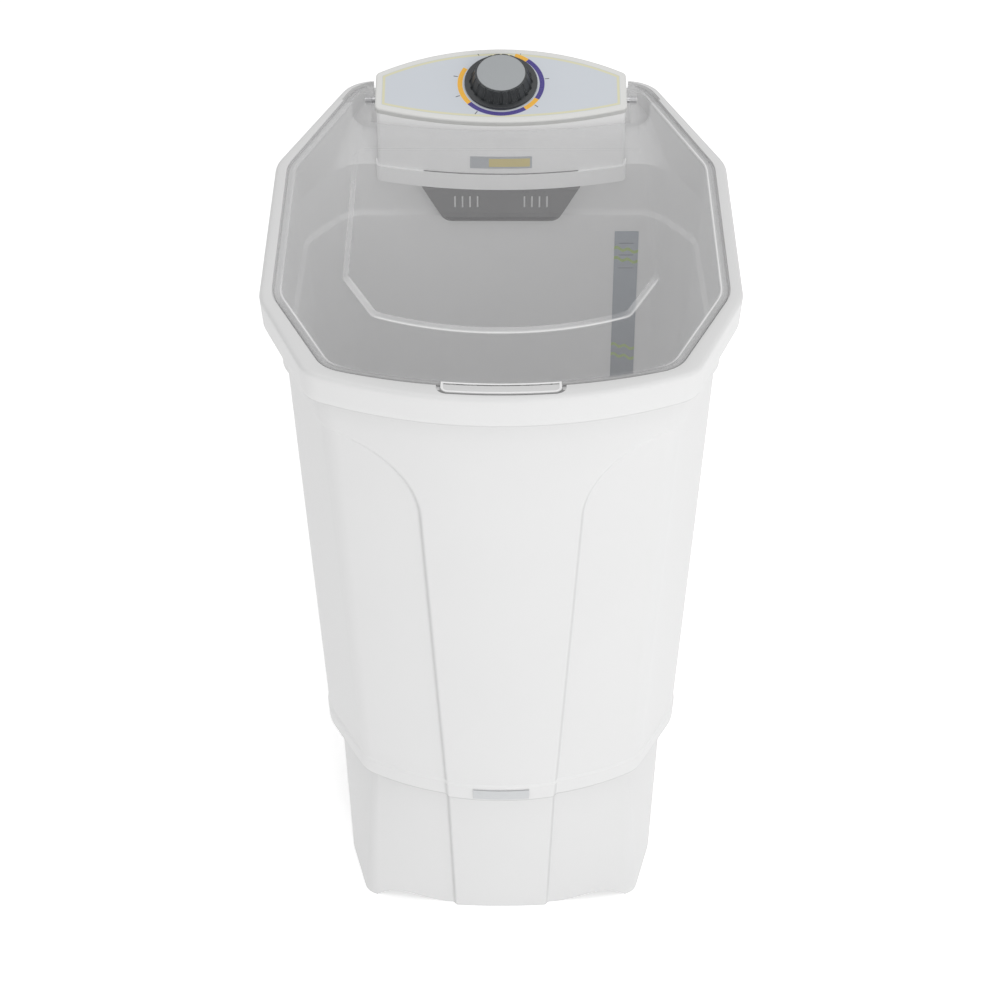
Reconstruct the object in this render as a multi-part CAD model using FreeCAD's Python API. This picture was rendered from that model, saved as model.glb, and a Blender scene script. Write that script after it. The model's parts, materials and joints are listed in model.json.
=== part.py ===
import FreeCAD, Part
import math
import os
from collections import namedtuple

# Top-loading washing machine with one tub. Millimetres, +Z up, front towards -Y.
# The origin is on the floor under the middle of the machine's box.
# Depths named here are measured back from the foremost point of the rim.

# Heights above the floor
PAD_STAND = 1.0
BODY_FOOT_Z = 220.0
BAND_HEIGHT = 26.0
RIM_Z = 905.0
COLLAR_DROP = 79.0
COLLAR_SLOPE = 7.0
HOPPER_DROP = 73.0
LIP_HEIGHT = 40.0

# Rim outline
RIM_HALF_WIDTH = 275.0
RIM_BOW = 486.0
RIM_CHAMFER_WIDTH = 59.5
RIM_CHAMFER_LENGTH = 140.0
RIM_REAR_CHAMFER_WIDTH = 84.0
RIM_REAR_CHAMFER_LENGTH = 200.0
RIM_REAR = 674.0
RIM_EDGE_ROUND = 5.0
LIP_DRAFT = 2.5
LIP_WALL = 4.0

# Tub body under the rim
LIP_OVERHANG = 24.0
BODY_SIDE_TAPER = 26.0
BODY_FRONT_TAPER = 37.0
BODY_REAR_TAPER = 21.0
BODY_REAR_SETBACK = 86.0
BODY_FOOT_BOW = 330.0
BODY_CHAMFER_WIDTH = 52.0
BODY_CHAMFER_LENGTH = 126.0
BODY_FOOT_CHAMFER_LENGTH = 94.0
BODY_REAR_CHAMFER_WIDTH = 48.0
BODY_REAR_CHAMFER_LENGTH = 80.0
TUB_WALL = 3.5
TUB_FLOOR = 5.0
PANEL_RAISE = 5.0
PANEL_FOOT_HALF = 68.5
PANEL_HALF = 92.0
PANEL_FLARE = 110.0
PANEL_FLARE_DROP = 124.0
BAND_PROUD = 1.5

# Skirt under the tub
SKIRT_INSET = 14.0
SKIRT_WALL = 3.5
FOOT_SIDE_TAPER = 9.0
FOOT_FRONT = 74.0
FOOT_BOW = 900.0
FOOT_CHAMFER_WIDTH = 24.0
FOOT_CHAMFER_LENGTH = 88.0
SKIRT_PANEL_FOOT_HALF = 61.0
ARCH_RISE = 12.0
ARCH_PEAK_SHARE = 0.68
ARCH_END_GAP = 40.0
PAD_RADIUS = 15.0
PAD_HEIGHT = 10.0
PAD_INSET = 40.0
FOOT_COLUMN_WALL = 8.0
FOOT_COLUMN_HEIGHT = 40.0

# Corner rounds of the outlines
FRONT_ROUND = 42.0
SIDE_ROUND = 70.0
REAR_ROUND = 45.0
FOOT_ROUND = 24.0
LEAST_ROUND = 2.0

# Lid
LID_SIDE_MARGIN = 16.0
LID_FRONT = 24.5
LID_BOW = 560.0
LID_CHAMFER_WIDTH = 65.0
LID_CHAMFER_LENGTH = 137.0
LID_REAR_CHAMFER_WIDTH = 78.0
LID_REAR_CHAMFER_LENGTH = 197.0
LID_REAR_MARGIN = 7.0
LID_THICKNESS = 3.0
LID_SINK = 4.0
LID_SEAT_WIDTH = 9.0
LID_SEAT_GAP = 1.5
EMBOSS_SIDE_MARGIN = 78.0
EMBOSS_FRONT = 122.0
EMBOSS_REAR_MARGIN = 159.0
EMBOSS_BOW = 345.0
EMBOSS_CHAMFER_WIDTH = 36.0
EMBOSS_CHAMFER_LENGTH = 74.0
EMBOSS_REAR_CHAMFER = 12.0
EMBOSS_RAISE = 4.0
EMBOSS_SLOPE = 6.0
EMBOSS_ROUND = 16.0
TAB_HALF_WIDTH = 66.0
TAB_REACH = 12.5
TAB_GAP = 4.5
TAB_ROUND = 8.0
TAB_POCKET_DEPTH = 4.5
TAB_POCKET_FLOOR = 6.0

# Console
CONSOLE_HALF_WIDTH = 158.0
CONSOLE_DEPTH = 121.0
CONSOLE_FRONT_BOW = 22.5
CONSOLE_REAR_BOW = 41.0
CONSOLE_REAR_PROUD = 3.0
CONSOLE_SINK = 69.0
CONSOLE_WALL = 3.0
CONSOLE_ROUND = 8.0
BASE_PLATE = 3.0
BAND_DROP = 19.0
BASE_PROUD = 3.0
BEZEL_TILT = 16.2
BEZEL_RISE = 8.0
BEZEL_THICKNESS = 8.0
BEZEL_OVERHANG = 2.0
BEZEL_EDGE_ROUND = 2.5
OVERLAY_BORDER = 8.0
OVERLAY_THICKNESS = 0.6
CONSOLE_GAP = 5.0
CONSOLE_SLIT = 3.5
NOTCH_DROP = 16.0

# Lid hinge, along X through the console's ends
HINGE_SETBACK = 6.0
HINGE_SINK = 4.0
PIN_RADIUS = 4.0
PIN_HEAD_RADIUS = 5.0
PIN_HEAD = 4.0
PIN_PROUD = 1.0
LUG_RADIUS = 6.0
LUG_WIDTH = 8.0
LUG_GAP = 5.5
RUNNING_CLEARANCE = 0.05
LID_SWEEP_GAP = 4.0
TROUGH_GAP = 1.2
TROUGH_REACH = 6.0
TROUGH_RELIEF = 2.5
RELIEF_DROP = 8.0

# Timer and knob
KNOB_UP = 65.5
KNOB_FLANGE_RADIUS = 46.0
KNOB_FLANGE = 3.0
KNOB_FOOT_RADIUS = 39.0
KNOB_TOP_RADIUS = 33.0
KNOB_HEIGHT = 18.0
KNOB_LIFT = 0.6
KNOB_SHELL = 3.0
CAP_RADIUS = 30.5
CAP_THICKNESS = 3.0
CAP_PROUD = 1.2
FLUTE_COUNT = 20
FLUTE_RADIUS = 2.6
FLUTE_DEPTH = 1.2
TIMER_WIDTH = 60.0
TIMER_LENGTH = 54.0
TIMER_DEPTH = 34.0
TIMER_SHAFT_RADIUS = 3.0
TIMER_SHAFT_SINK = 22.0
SHAFT_HOLE_GAP = 3.0

# Lint filter
FILTER_HALF_WIDTH = 102.0
FILTER_KNEE_HALF = 82.5
FILTER_KNEE_DROP = 37.0
FILTER_FOOT_HALF = 73.0
FILTER_HEIGHT = 56.0
FILTER_SETBACK = 6.0
FILTER_TRAVEL = 50.0
FILTER_WALL = 2.5
FILTER_GAP = 0.3
TONGUE_X = 50.0
TONGUE_WIDTH = 16.0
TONGUE_THICKNESS = 5.0
TONGUE_HEIGHT = 10.0
SLOT_WIDTH = 2.0
SLOT_HEIGHT = 17.0
SLOT_DROP = 14.0
SLOT_PITCH = 9.6
SLOT_FIRST = 30.0
SLOTS_PER_SIDE = 4
NET_THICKNESS = 1.0
NET_HOLE = 5.0
NET_PITCH = 8.0

# Plates and strip, each on a thin layer of glue
GLUE = 0.3
STRIP_LEFT = 148.0
STRIP_WIDTH = 31.0
STRIP_DROP = 170.0
STRIP_RISE = 180.0
STRIP_THICKNESS = 0.6
BADGE_WIDTH = 71.0
BADGE_HEIGHT = 16.0
BADGE_THICKNESS = 1.2
LABEL_WIDTH = 78.0
LABEL_HEIGHT = 17.0
LABEL_RISE = 17.0
LABEL_THICKNESS = 0.8

# Impeller drive, on a vertical shaft through the tub floor
SHAFT_RADIUS = 8.0
FLOOR_PAD_RADIUS = 66.0
FLOOR_PAD = 14.0
SEAL_RADIUS = 20.0
SEAL_PROUD = 1.0
HOUSING_FLANGE_RADIUS = 58.0
HOUSING_FLANGE = 6.0
HOUSING_RADIUS = 24.0
HOUSING_LENGTH = 82.0
BUSH_RADIUS = 16.0
BUSH_LENGTH = 22.0
HOUSING_SCREW_CIRCLE = 44.0
WASHER_RADIUS = 14.0
WASHER_THICKNESS = 3.0
END_PLAY = 0.3
IMPELLER_RADIUS = 155.0
IMPELLER_LIFT = 8.0
IMPELLER_DISC = 5.0
IMPELLER_DOME = 26.0
IMPELLER_HUB_RADIUS = 22.0
VANE_COUNT = 5
VANE_WIDTH = 12.0
VANE_HEIGHT = 34.0

# Belt drive
DRIVEN_RADIUS = 100.0
MOTOR_PULLEY_RADIUS = 27.0
PULLEY_WIDTH = 16.0
GROOVE_DEPTH = 7.0
BELT_WIDTH = 8.0
BELT_THICKNESS = 5.0
BELT_GAP = 0.3
PULLEY_HUB_RADIUS = 16.0
PULLEY_SPACING = 165.0
SPOKE_WEB = 5.0
WEB_HOLES = 5
NUT_WIDTH = 24.0
NUT_HEIGHT = 9.0

# Motor
MOTOR_RADIUS = 60.0
MOTOR_REAR_GAP = 6.5
MOTOR_HEIGHT = 86.0
STATOR_HEIGHT = 36.0
MOTOR_SHELL = 4.0
ROTOR_RADIUS = 34.0
ROTOR_GAP = 0.6
MOTOR_SHAFT_RADIUS = 6.0
MOTOR_BUSH_RADIUS = 11.0
MOTOR_BUSH_LENGTH = 14.0
BRACKET_THICKNESS = 4.0
BRACKET_HALF_WIDTH = 82.0
BRACKET_HALF_LENGTH = 54.0
BRACKET_BOLT_X = 70.0
BRACKET_BOLT_Y = 42.0
MOTOR_BOSS = 16.0
TIE_CIRCLE = 50.0
TERMINAL_WIDTH = 30.0
TERMINAL_REACH = 10.0

# Capacitor
CAPACITOR_X = -125.0
CAPACITOR_DEPTH = 330.0
CAPACITOR_RADIUS = 18.0
CAPACITOR_LENGTH = 70.0
CLIP_WALL = 2.0
CLIP_LENGTH = 24.0

# Drain
DRAIN_X = 112.0
DRAIN_SETBACK = 85.0
DRAIN_RADIUS = 24.0
GRATE_FLANGE = 6.0
GRATE_THICKNESS = 2.5
GRATE_SLOTS = 5
DRAIN_FLANGE_RADIUS = 34.0
DRAIN_FLANGE = 4.0
GASKET_THICKNESS = 3.0
ELBOW_RADIUS = 17.0
ELBOW_BORE = 10.0
ELBOW_DROP = 22.0
SPIGOT_RADIUS = 12.5
SPIGOT_LENGTH = 30.0
WALL_HOLE_GAP = 1.0

# Wiring
HARNESS_X = -85.0
HARNESS_RADIUS = 4.0
HARNESS_ENTRY_DROP = 30.0
HARNESS_LEAD = 48.0
HARNESS_DROP = 14.0
HARNESS_PASS = 22.0
HARNESS_BACK = 16.0
HARNESS_HOLE_GAP = 4.0
CHANNEL_WIDTH = 30.0
CHANNEL_DEPTH = 16.0
CHANNEL_WALL = 2.0
CHANNEL_DROP = 205.0
CHANNEL_RISE = 30.0
GROMMET_RADIUS = 9.0
GROMMET_WIDTH = 8.0
GLAND_X = -120.0
GLAND_Z = 80.0
GLAND_RADIUS = 9.0
GLAND_BORE = 4.0
GLAND_LENGTH = 24.0

# Fasteners
SCREW_RADIUS = 2.0
SCREW_HEAD_RADIUS = 4.5
SCREW_HEAD = 3.0
SCREW_LENGTH = 14.0
BOSS_RADIUS = 7.0
BASE_BOSS = 20.0
BASE_TAB = 4.0
BASE_TAB_REACH = 28.0
BASE_TAB_WIDTH = 26.0
BASE_SCREW_DEPTHS = (250.0, 400.0)
CONSOLE_BOSS = 12.0
CONSOLE_BOSS_HEIGHT = 40.0

# Places that follow from the sizes above
TILT = math.radians(BEZEL_TILT)
OVERALL_DEPTH = RIM_REAR + CONSOLE_REAR_PROUD + BEZEL_THICKNESS * math.sin(TILT)
FRONT_Y = -OVERALL_DEPTH / 2
LIP_Z = RIM_Z - LIP_HEIGHT
COLLAR_Z = RIM_Z - COLLAR_DROP
HOPPER_Z = RIM_Z - HOPPER_DROP
PANEL_FLARE_Z = COLLAR_Z - PANEL_FLARE_DROP
FLOOR_UNDER_Z = BODY_FOOT_Z + BAND_HEIGHT
FLOOR_Z = FLOOR_UNDER_Z + TUB_FLOOR
SEAT_Z = RIM_Z - LID_SINK
FLANGE_UNDER_Z = SEAT_Z - LIP_WALL
BODY_HALF_WIDTH = RIM_HALF_WIDTH - LIP_OVERHANG
BODY_FOOT_HALF_WIDTH = BODY_HALF_WIDTH - BODY_SIDE_TAPER
BODY_REAR = RIM_REAR - BODY_REAR_SETBACK
FOOT_HALF_WIDTH = BODY_FOOT_HALF_WIDTH - SKIRT_INSET - FOOT_SIDE_TAPER
FOOT_REAR = BODY_REAR - BODY_REAR_TAPER - SKIRT_INSET
SKIRT_REAR_Y = FRONT_Y + FOOT_REAR
LID_HALF_WIDTH = RIM_HALF_WIDTH - LID_SIDE_MARGIN
LID_REAR = RIM_REAR - LID_REAR_MARGIN
EMBOSS_HALF_WIDTH = LID_HALF_WIDTH - EMBOSS_SIDE_MARGIN
EMBOSS_REAR = LID_REAR - EMBOSS_REAR_MARGIN
CONSOLE_REAR = RIM_REAR + CONSOLE_REAR_PROUD
CONSOLE_FRONT = CONSOLE_REAR - CONSOLE_DEPTH
CONSOLE_END_FRONT = CONSOLE_FRONT + CONSOLE_FRONT_BOW
CONSOLE_END_REAR = CONSOLE_REAR - CONSOLE_REAR_BOW
CONSOLE_FOOT_Z = RIM_Z - CONSOLE_SINK
BEZEL_FRONT_Z = RIM_Z + BEZEL_RISE
HINGE_DEPTH = CONSOLE_END_REAR - HINGE_SETBACK
HINGE_Z = RIM_Z - HINGE_SINK
FILTER_FRONT = CONSOLE_FRONT + FILTER_SETBACK
STRIP_TOP_Z = RIM_Z - STRIP_DROP
STRIP_FOOT_Z = BODY_FOOT_Z + STRIP_RISE
LABEL_Z = CONSOLE_FOOT_Z + LABEL_RISE
MOTOR_DEPTH = FOOT_REAR - SKIRT_WALL - MOTOR_RADIUS - MOTOR_REAR_GAP
DRIVE_DEPTH = MOTOR_DEPTH - PULLEY_SPACING
DRAIN_DEPTH = FOOT_REAR - DRAIN_SETBACK
ELBOW_Z = BODY_FOOT_Z - ELBOW_DROP
HARNESS_ENTRY_Z = BODY_FOOT_Z - HARNESS_ENTRY_DROP
CHANNEL_TOP_Z = RIM_Z - CHANNEL_DROP
CHANNEL_FOOT_Z = BODY_FOOT_Z + CHANNEL_RISE
BIG = 2000.0
OVERCUT = 1.0

V = FreeCAD.Vector
UP = V(0, 0, 1)
ACROSS = V(1, 0, 0)
BACKWARD = V(0, 1, 0)


def behind(depth):
    """Y of a point this far behind the foremost point of the rim."""
    return FRONT_Y + depth


Plan = namedtuple("Plan", "half_width front bow chamfer_width chamfer_length rear_chamfer_width "
                          "rear_chamfer_length rear front_round side_round rear_round")


def between(low, high, share):
    """Outline part of the way from one outline to another."""
    return Plan(*(a + (b - a) * share for a, b in zip(low, high)))


def mirrored(point):
    return V(-point.x, point.y, point.z)


def moved_in(start, end, inset):
    """A straight run moved to its left by inset, as a point and a direction."""
    direction = (end - start).normalize()
    return start + UP.cross(direction) * inset, direction


def crossing(run, other):
    """The point where two runs in one level cross."""
    start, direction = run
    other_start, other_direction = other
    normal = UP.cross(other_direction)
    return start + direction * ((other_start - start).dot(normal) / direction.dot(normal))


def rounded(corner, before, after, radius):
    """Start, middle and end of the arc that rounds a corner between two straight runs."""
    to_before = (before - corner).normalize()
    to_after = (after - corner).normalize()
    half = to_before.getAngle(to_after) / 2
    middle_way = (to_before + to_after).normalize()
    centre = corner + middle_way * (radius / math.sin(half))
    run = radius / math.tan(half)
    return corner + to_before * run, centre - middle_way * radius, corner + to_after * run


def arc(points):
    return Part.Arc(*points).toShape()


def outline(plan, inset, z):
    """Closed wire at height z: bowed front, front chamfers, sides, rear chamfers and straight rear."""
    bow = plan.bow - inset
    bow_centre = V(0, behind(plan.front) + plan.bow, z)
    shoulder_x = plan.half_width - plan.chamfer_width
    shoulder = V(shoulder_x, bow_centre.y - math.sqrt(plan.bow ** 2 - shoulder_x ** 2), z)
    side_front = V(plan.half_width, shoulder.y + plan.chamfer_length, z)
    side_rear = V(plan.half_width, behind(plan.rear - plan.rear_chamfer_length), z)
    rear_corner = V(plan.half_width - plan.rear_chamfer_width, behind(plan.rear), z)
    front_run = moved_in(shoulder, side_front, inset)
    side_run = moved_in(side_front, side_rear, inset)
    back_run = moved_in(side_rear, rear_corner, inset)
    rear_run = moved_in(rear_corner, V(0, behind(plan.rear), z), inset)
    side_front = crossing(front_run, side_run)
    side_rear = crossing(side_run, back_run)
    rear_corner = crossing(back_run, rear_run)

    radius = max(plan.front_round - inset, LEAST_ROUND)
    start, direction = front_run
    inward = UP.cross(direction)
    to_line = start + inward * radius - bow_centre
    along = to_line.dot(direction)
    reach = math.sqrt(along ** 2 - to_line.dot(to_line) + (bow - radius) ** 2)
    round_centre = bow_centre + to_line - direction * (along + reach)
    from_bow = (round_centre - bow_centre).normalize()
    on_bow = bow_centre + from_bow * bow
    on_run = round_centre - inward * radius
    round_middle = round_centre + (from_bow - inward).normalize() * radius

    side_radius = max(plan.side_round - inset, LEAST_ROUND)
    rear_radius = max(plan.rear_round - inset, LEAST_ROUND)
    rounds = [(on_bow, round_middle, on_run),
              rounded(side_front, on_run, side_rear, side_radius),
              rounded(side_rear, side_front, rear_corner, side_radius),
              rounded(rear_corner, side_rear, mirrored(rear_corner), rear_radius)]
    right = [arc(rounds[0])]
    for before, after in zip(rounds, rounds[1:]):
        right.append(Part.makeLine(before[2], after[0]))
        right.append(arc(after))
    left = [arc(tuple(mirrored(p) for p in rounds[-1])[::-1])]
    for before, after in zip(rounds[::-1], rounds[-2::-1]):
        left.append(Part.makeLine(mirrored(before[0]), mirrored(after[2])))
        left.append(arc(tuple(mirrored(p) for p in after)[::-1]))
    front = arc((mirrored(on_bow), bow_centre - V(0, bow, 0), on_bow))
    rear = Part.makeLine(rounds[-1][2], mirrored(rounds[-1][2]))
    return Part.Wire([front] + right + [rear] + left)


def loft(lower, upper):
    return Part.makeLoft([lower, upper], True, True)


def prism(wire, height, way=UP):
    return Part.Face(wire).extrude(way * height)


def polygon(points):
    return Part.makePolygon(list(points) + [points[0]])


def block(low, high):
    return Part.makeBox(high.x - low.x, high.y - low.y, high.z - low.z, low)


def rod(start, end, radius):
    return Part.makeCylinder(radius, (end - start).Length, start, end - start)


def ring(start, end, radius, bore):
    return rod(start, end, radius).cut(rod(start, end, bore))


def fused(shapes):
    first = shapes[0]
    return first.fuse(shapes[1:]).removeSplitter()


def upright_edges(shape):
    return [e for e in shape.Edges if e.Length > 0 and e.BoundBox.ZLength > 0.99 * e.Length]


def without(shape, tools):
    return shape.cut(tools)


def turned(profile, centre):
    """Solid of revolution about a vertical line from a closed list of (radius, height) points."""
    face = Part.Face(polygon([V(centre.x + r, centre.y, centre.z + h) for r, h in profile]))
    return face.revolve(centre, UP, 360)


def screw(head_seat, way, length=SCREW_LENGTH, radius=SCREW_RADIUS):
    """Pan-head screw: the head lies behind its seat, the shank runs on in the given way."""
    head = rod(head_seat - way * SCREW_HEAD, head_seat, SCREW_HEAD_RADIUS)
    return fused([head, rod(head_seat, head_seat + way * length, radius)])


def save(name, shape):
    solids = shape.Solids
    result = solids[0] if len(solids) == 1 else Part.makeCompound(solids)
    print(name, len(solids), shape.isValid(), round(result.Volume / 1000, 2))
    result.exportStep("parts/" + name + ".step")


# Outlines at their levels
RIM = Plan(RIM_HALF_WIDTH, 0.0, RIM_BOW, RIM_CHAMFER_WIDTH, RIM_CHAMFER_LENGTH, RIM_REAR_CHAMFER_WIDTH,
           RIM_REAR_CHAMFER_LENGTH, RIM_REAR, FRONT_ROUND, SIDE_ROUND, REAR_ROUND)
BODY_TOP = Plan(BODY_HALF_WIDTH, LIP_OVERHANG, RIM_BOW - LIP_OVERHANG, BODY_CHAMFER_WIDTH,
                BODY_CHAMFER_LENGTH, BODY_REAR_CHAMFER_WIDTH, BODY_REAR_CHAMFER_LENGTH, BODY_REAR,
                FRONT_ROUND, SIDE_ROUND, REAR_ROUND)
BODY_FOOT = BODY_TOP._replace(half_width=BODY_FOOT_HALF_WIDTH,
                              front=BODY_TOP.front + BODY_FRONT_TAPER, bow=BODY_FOOT_BOW,
                              chamfer_length=BODY_FOOT_CHAMFER_LENGTH, rear=BODY_REAR - BODY_REAR_TAPER)
FOOT = Plan(FOOT_HALF_WIDTH, FOOT_FRONT, FOOT_BOW, FOOT_CHAMFER_WIDTH, FOOT_CHAMFER_LENGTH,
            FOOT_CHAMFER_WIDTH, FOOT_CHAMFER_LENGTH, FOOT_REAR, FOOT_ROUND, SIDE_ROUND, FOOT_ROUND)
LID = Plan(LID_HALF_WIDTH, LID_FRONT, LID_BOW, LID_CHAMFER_WIDTH, LID_CHAMFER_LENGTH,
           LID_REAR_CHAMFER_WIDTH, LID_REAR_CHAMFER_LENGTH, LID_REAR, FRONT_ROUND, SIDE_ROUND, REAR_ROUND)
EMBOSS = Plan(EMBOSS_HALF_WIDTH, EMBOSS_FRONT, EMBOSS_BOW, EMBOSS_CHAMFER_WIDTH, EMBOSS_CHAMFER_LENGTH,
              EMBOSS_REAR_CHAMFER, EMBOSS_REAR_CHAMFER, EMBOSS_REAR, EMBOSS_ROUND, EMBOSS_ROUND,
              EMBOSS_ROUND / 2)
# The collar is as wide as the raised body in front, and follows the lid at the rear.
COLLAR = LID._replace(half_width=BODY_TOP.half_width + PANEL_RAISE, front=BODY_TOP.front - PANEL_RAISE,
                      bow=BODY_TOP.bow + PANEL_RAISE, chamfer_width=BODY_CHAMFER_WIDTH,
                      chamfer_length=BODY_CHAMFER_LENGTH, rear=LID_REAR - LID_SEAT_WIDTH + TUB_WALL)


def body_plan(z):
    return between(BODY_FOOT, BODY_TOP, (z - BODY_FOOT_Z) / (LIP_Z - BODY_FOOT_Z))


def body_loft(inset, low, high):
    return loft(outline(body_plan(low), inset, low), outline(body_plan(high), inset, high))


def front_panel(inset, low):
    """Prism of the raised front panel: leaning sides that flare out into the collar."""
    flare = PANEL_FLARE + inset
    flare_centre = V(PANEL_HALF + PANEL_FLARE, behind(0), PANEL_FLARE_Z)
    foot = V(PANEL_FOOT_HALF - inset, behind(0), low)
    start = flare_centre - ACROSS * flare
    middle = flare_centre + (UP - ACROSS).normalize() * flare
    end = flare_centre + UP * flare
    top = end + UP * PANEL_FLARE
    points = [foot, start, middle, end, top]
    other = [mirrored(p) for p in points]
    edges = [Part.makeLine(other[0], foot), Part.makeLine(foot, start), arc((start, middle, end)),
             Part.makeLine(end, top), Part.makeLine(top, other[4]), Part.makeLine(other[4], other[3]),
             arc((other[3], other[2], other[1])), Part.makeLine(other[1], other[0])]
    return prism(Part.Wire(edges), BODY_REAR / 2, BACKWARD)


def eye(inset, z, way=1.0):
    """Console outline: two arcs that meet short straight ends; way stretches depths onto a tilted plane."""
    half = CONSOLE_HALF_WIDTH
    sag_front = CONSOLE_FRONT_BOW * way
    sag_rear = CONSOLE_REAR_BOW * way
    bow_front = (half ** 2 + sag_front ** 2) / (2 * sag_front)
    bow_rear = (half ** 2 + sag_rear ** 2) / (2 * sag_rear)
    depth = CONSOLE_DEPTH * way
    x = half - inset
    front_y = bow_front - math.sqrt((bow_front - inset) ** 2 - x ** 2)
    rear_y = depth - bow_rear + math.sqrt((bow_rear - inset) ** 2 - x ** 2)
    edges = [arc((V(-x, front_y, z), V(0, inset, z), V(x, front_y, z))),
             Part.makeLine(V(x, front_y, z), V(x, rear_y, z)),
             arc((V(x, rear_y, z), V(0, depth - inset, z), V(-x, rear_y, z))),
             Part.makeLine(V(-x, rear_y, z), V(-x, front_y, z))]
    return Part.Wire(edges)


def eye_prism(inset, low, high, way=1.0):
    """Upright prism of the console outline with rounded corners, its front middle on the Y zero line."""
    solid = prism(eye(inset, low, way), high - low)
    return solid.makeFillet(max(CONSOLE_ROUND - inset, LEAST_ROUND), upright_edges(solid))


def in_console(shape):
    """Moves a shape from the console outline's own place to its place on the machine."""
    shape.translate(V(0, behind(CONSOLE_FRONT), 0))
    return shape


def on_panel(shape):
    """Moves a shape drawn flat, with +Z out of the panel, onto the tilted top of the console."""
    shape.rotate(V(0, 0, 0), ACROSS, BEZEL_TILT)
    shape.translate(V(0, behind(CONSOLE_FRONT), BEZEL_FRONT_Z))
    return shape


PANEL_WAY = 1 / math.cos(TILT)
DRIVE = V(0, behind(DRIVE_DEPTH), 0)
MOTOR = V(0, behind(MOTOR_DEPTH), 0)
DRAIN = V(DRAIN_X, behind(DRAIN_DEPTH), 0)
PAD_UNDER_Z = FLOOR_UNDER_Z - FLOOR_PAD
HOUSING_FOOT_Z = PAD_UNDER_Z - HOUSING_LENGTH
BRACKET_TOP_Z = FLOOR_UNDER_Z - MOTOR_BOSS
MOTOR_TOP_Z = BRACKET_TOP_Z - BRACKET_THICKNESS
MOTOR_FOOT_Z = MOTOR_TOP_Z - MOTOR_HEIGHT
BASE_SEAT_Z = CONSOLE_FOOT_Z - BASE_PLATE


def base_boss_places():
    x = BODY_FOOT.half_width - SKIRT_INSET - SKIRT_WALL - BASE_TAB_REACH / 2
    return [V(side * x, behind(depth), 0) for side in (-1, 1) for depth in BASE_SCREW_DEPTHS]


def bracket_bolt_places():
    return [MOTOR + V(sx * BRACKET_BOLT_X, sy * BRACKET_BOLT_Y, 0) for sx in (-1, 1) for sy in (-1, 1)]


def around(centre, radius, count, start=0.0):
    """Places spread evenly on a circle about a centre."""
    for number in range(count):
        angle = start + 2 * math.pi * number / count
        yield centre + V(radius * math.cos(angle), radius * math.sin(angle), 0)


def at(place, z):
    return V(place.x, place.y, z)


def housing_screw_places():
    return list(around(DRIVE, HOUSING_SCREW_CIRCLE, 4, math.pi / 4))


def tie_places():
    return list(around(MOTOR, TIE_CIRCLE, 4, math.pi / 4))


def above_collar(rise):
    """Everything over the sloping line where the raised collar ends, moved up by rise."""
    room = block(V(-BIG, -BIG, 0), V(BIG, BIG, BIG))
    room.rotate(V(0, 0, 0), ACROSS, -COLLAR_SLOPE)
    room.translate(V(0, behind(LIP_OVERHANG), COLLAR_Z + rise))
    return room


def tab_prism(gap, low, high):
    """Prism of the lid's finger tab, larger than the tab by gap."""
    room = block(V(-TAB_HALF_WIDTH - gap, behind(TAB_REACH - gap), low),
                 V(TAB_HALF_WIDTH + gap, behind(LID_FRONT + LID_SEAT_WIDTH / 2), high))
    corners = [e for e in upright_edges(room) if e.BoundBox.YMax < behind(TAB_REACH) + OVERCUT]
    return room.makeFillet(TAB_ROUND + gap, corners)


def swing_room(wall):
    """Room behind the hinge that the lid's rear edge sweeps as it opens, larger all round by wall."""
    axis = V(0, behind(HINGE_DEPTH), HINGE_Z)
    radius = math.hypot(LID_REAR - HINGE_DEPTH, SEAT_Z + LID_THICKNESS - HINGE_Z) + TROUGH_GAP + wall
    front = behind(HINGE_DEPTH - TROUGH_REACH - wall)
    return rod(axis - ACROSS * BIG, axis + ACROSS * BIG, radius).common(
        block(V(-BIG, front, 0), V(BIG, BIG, BIG)))


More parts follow.
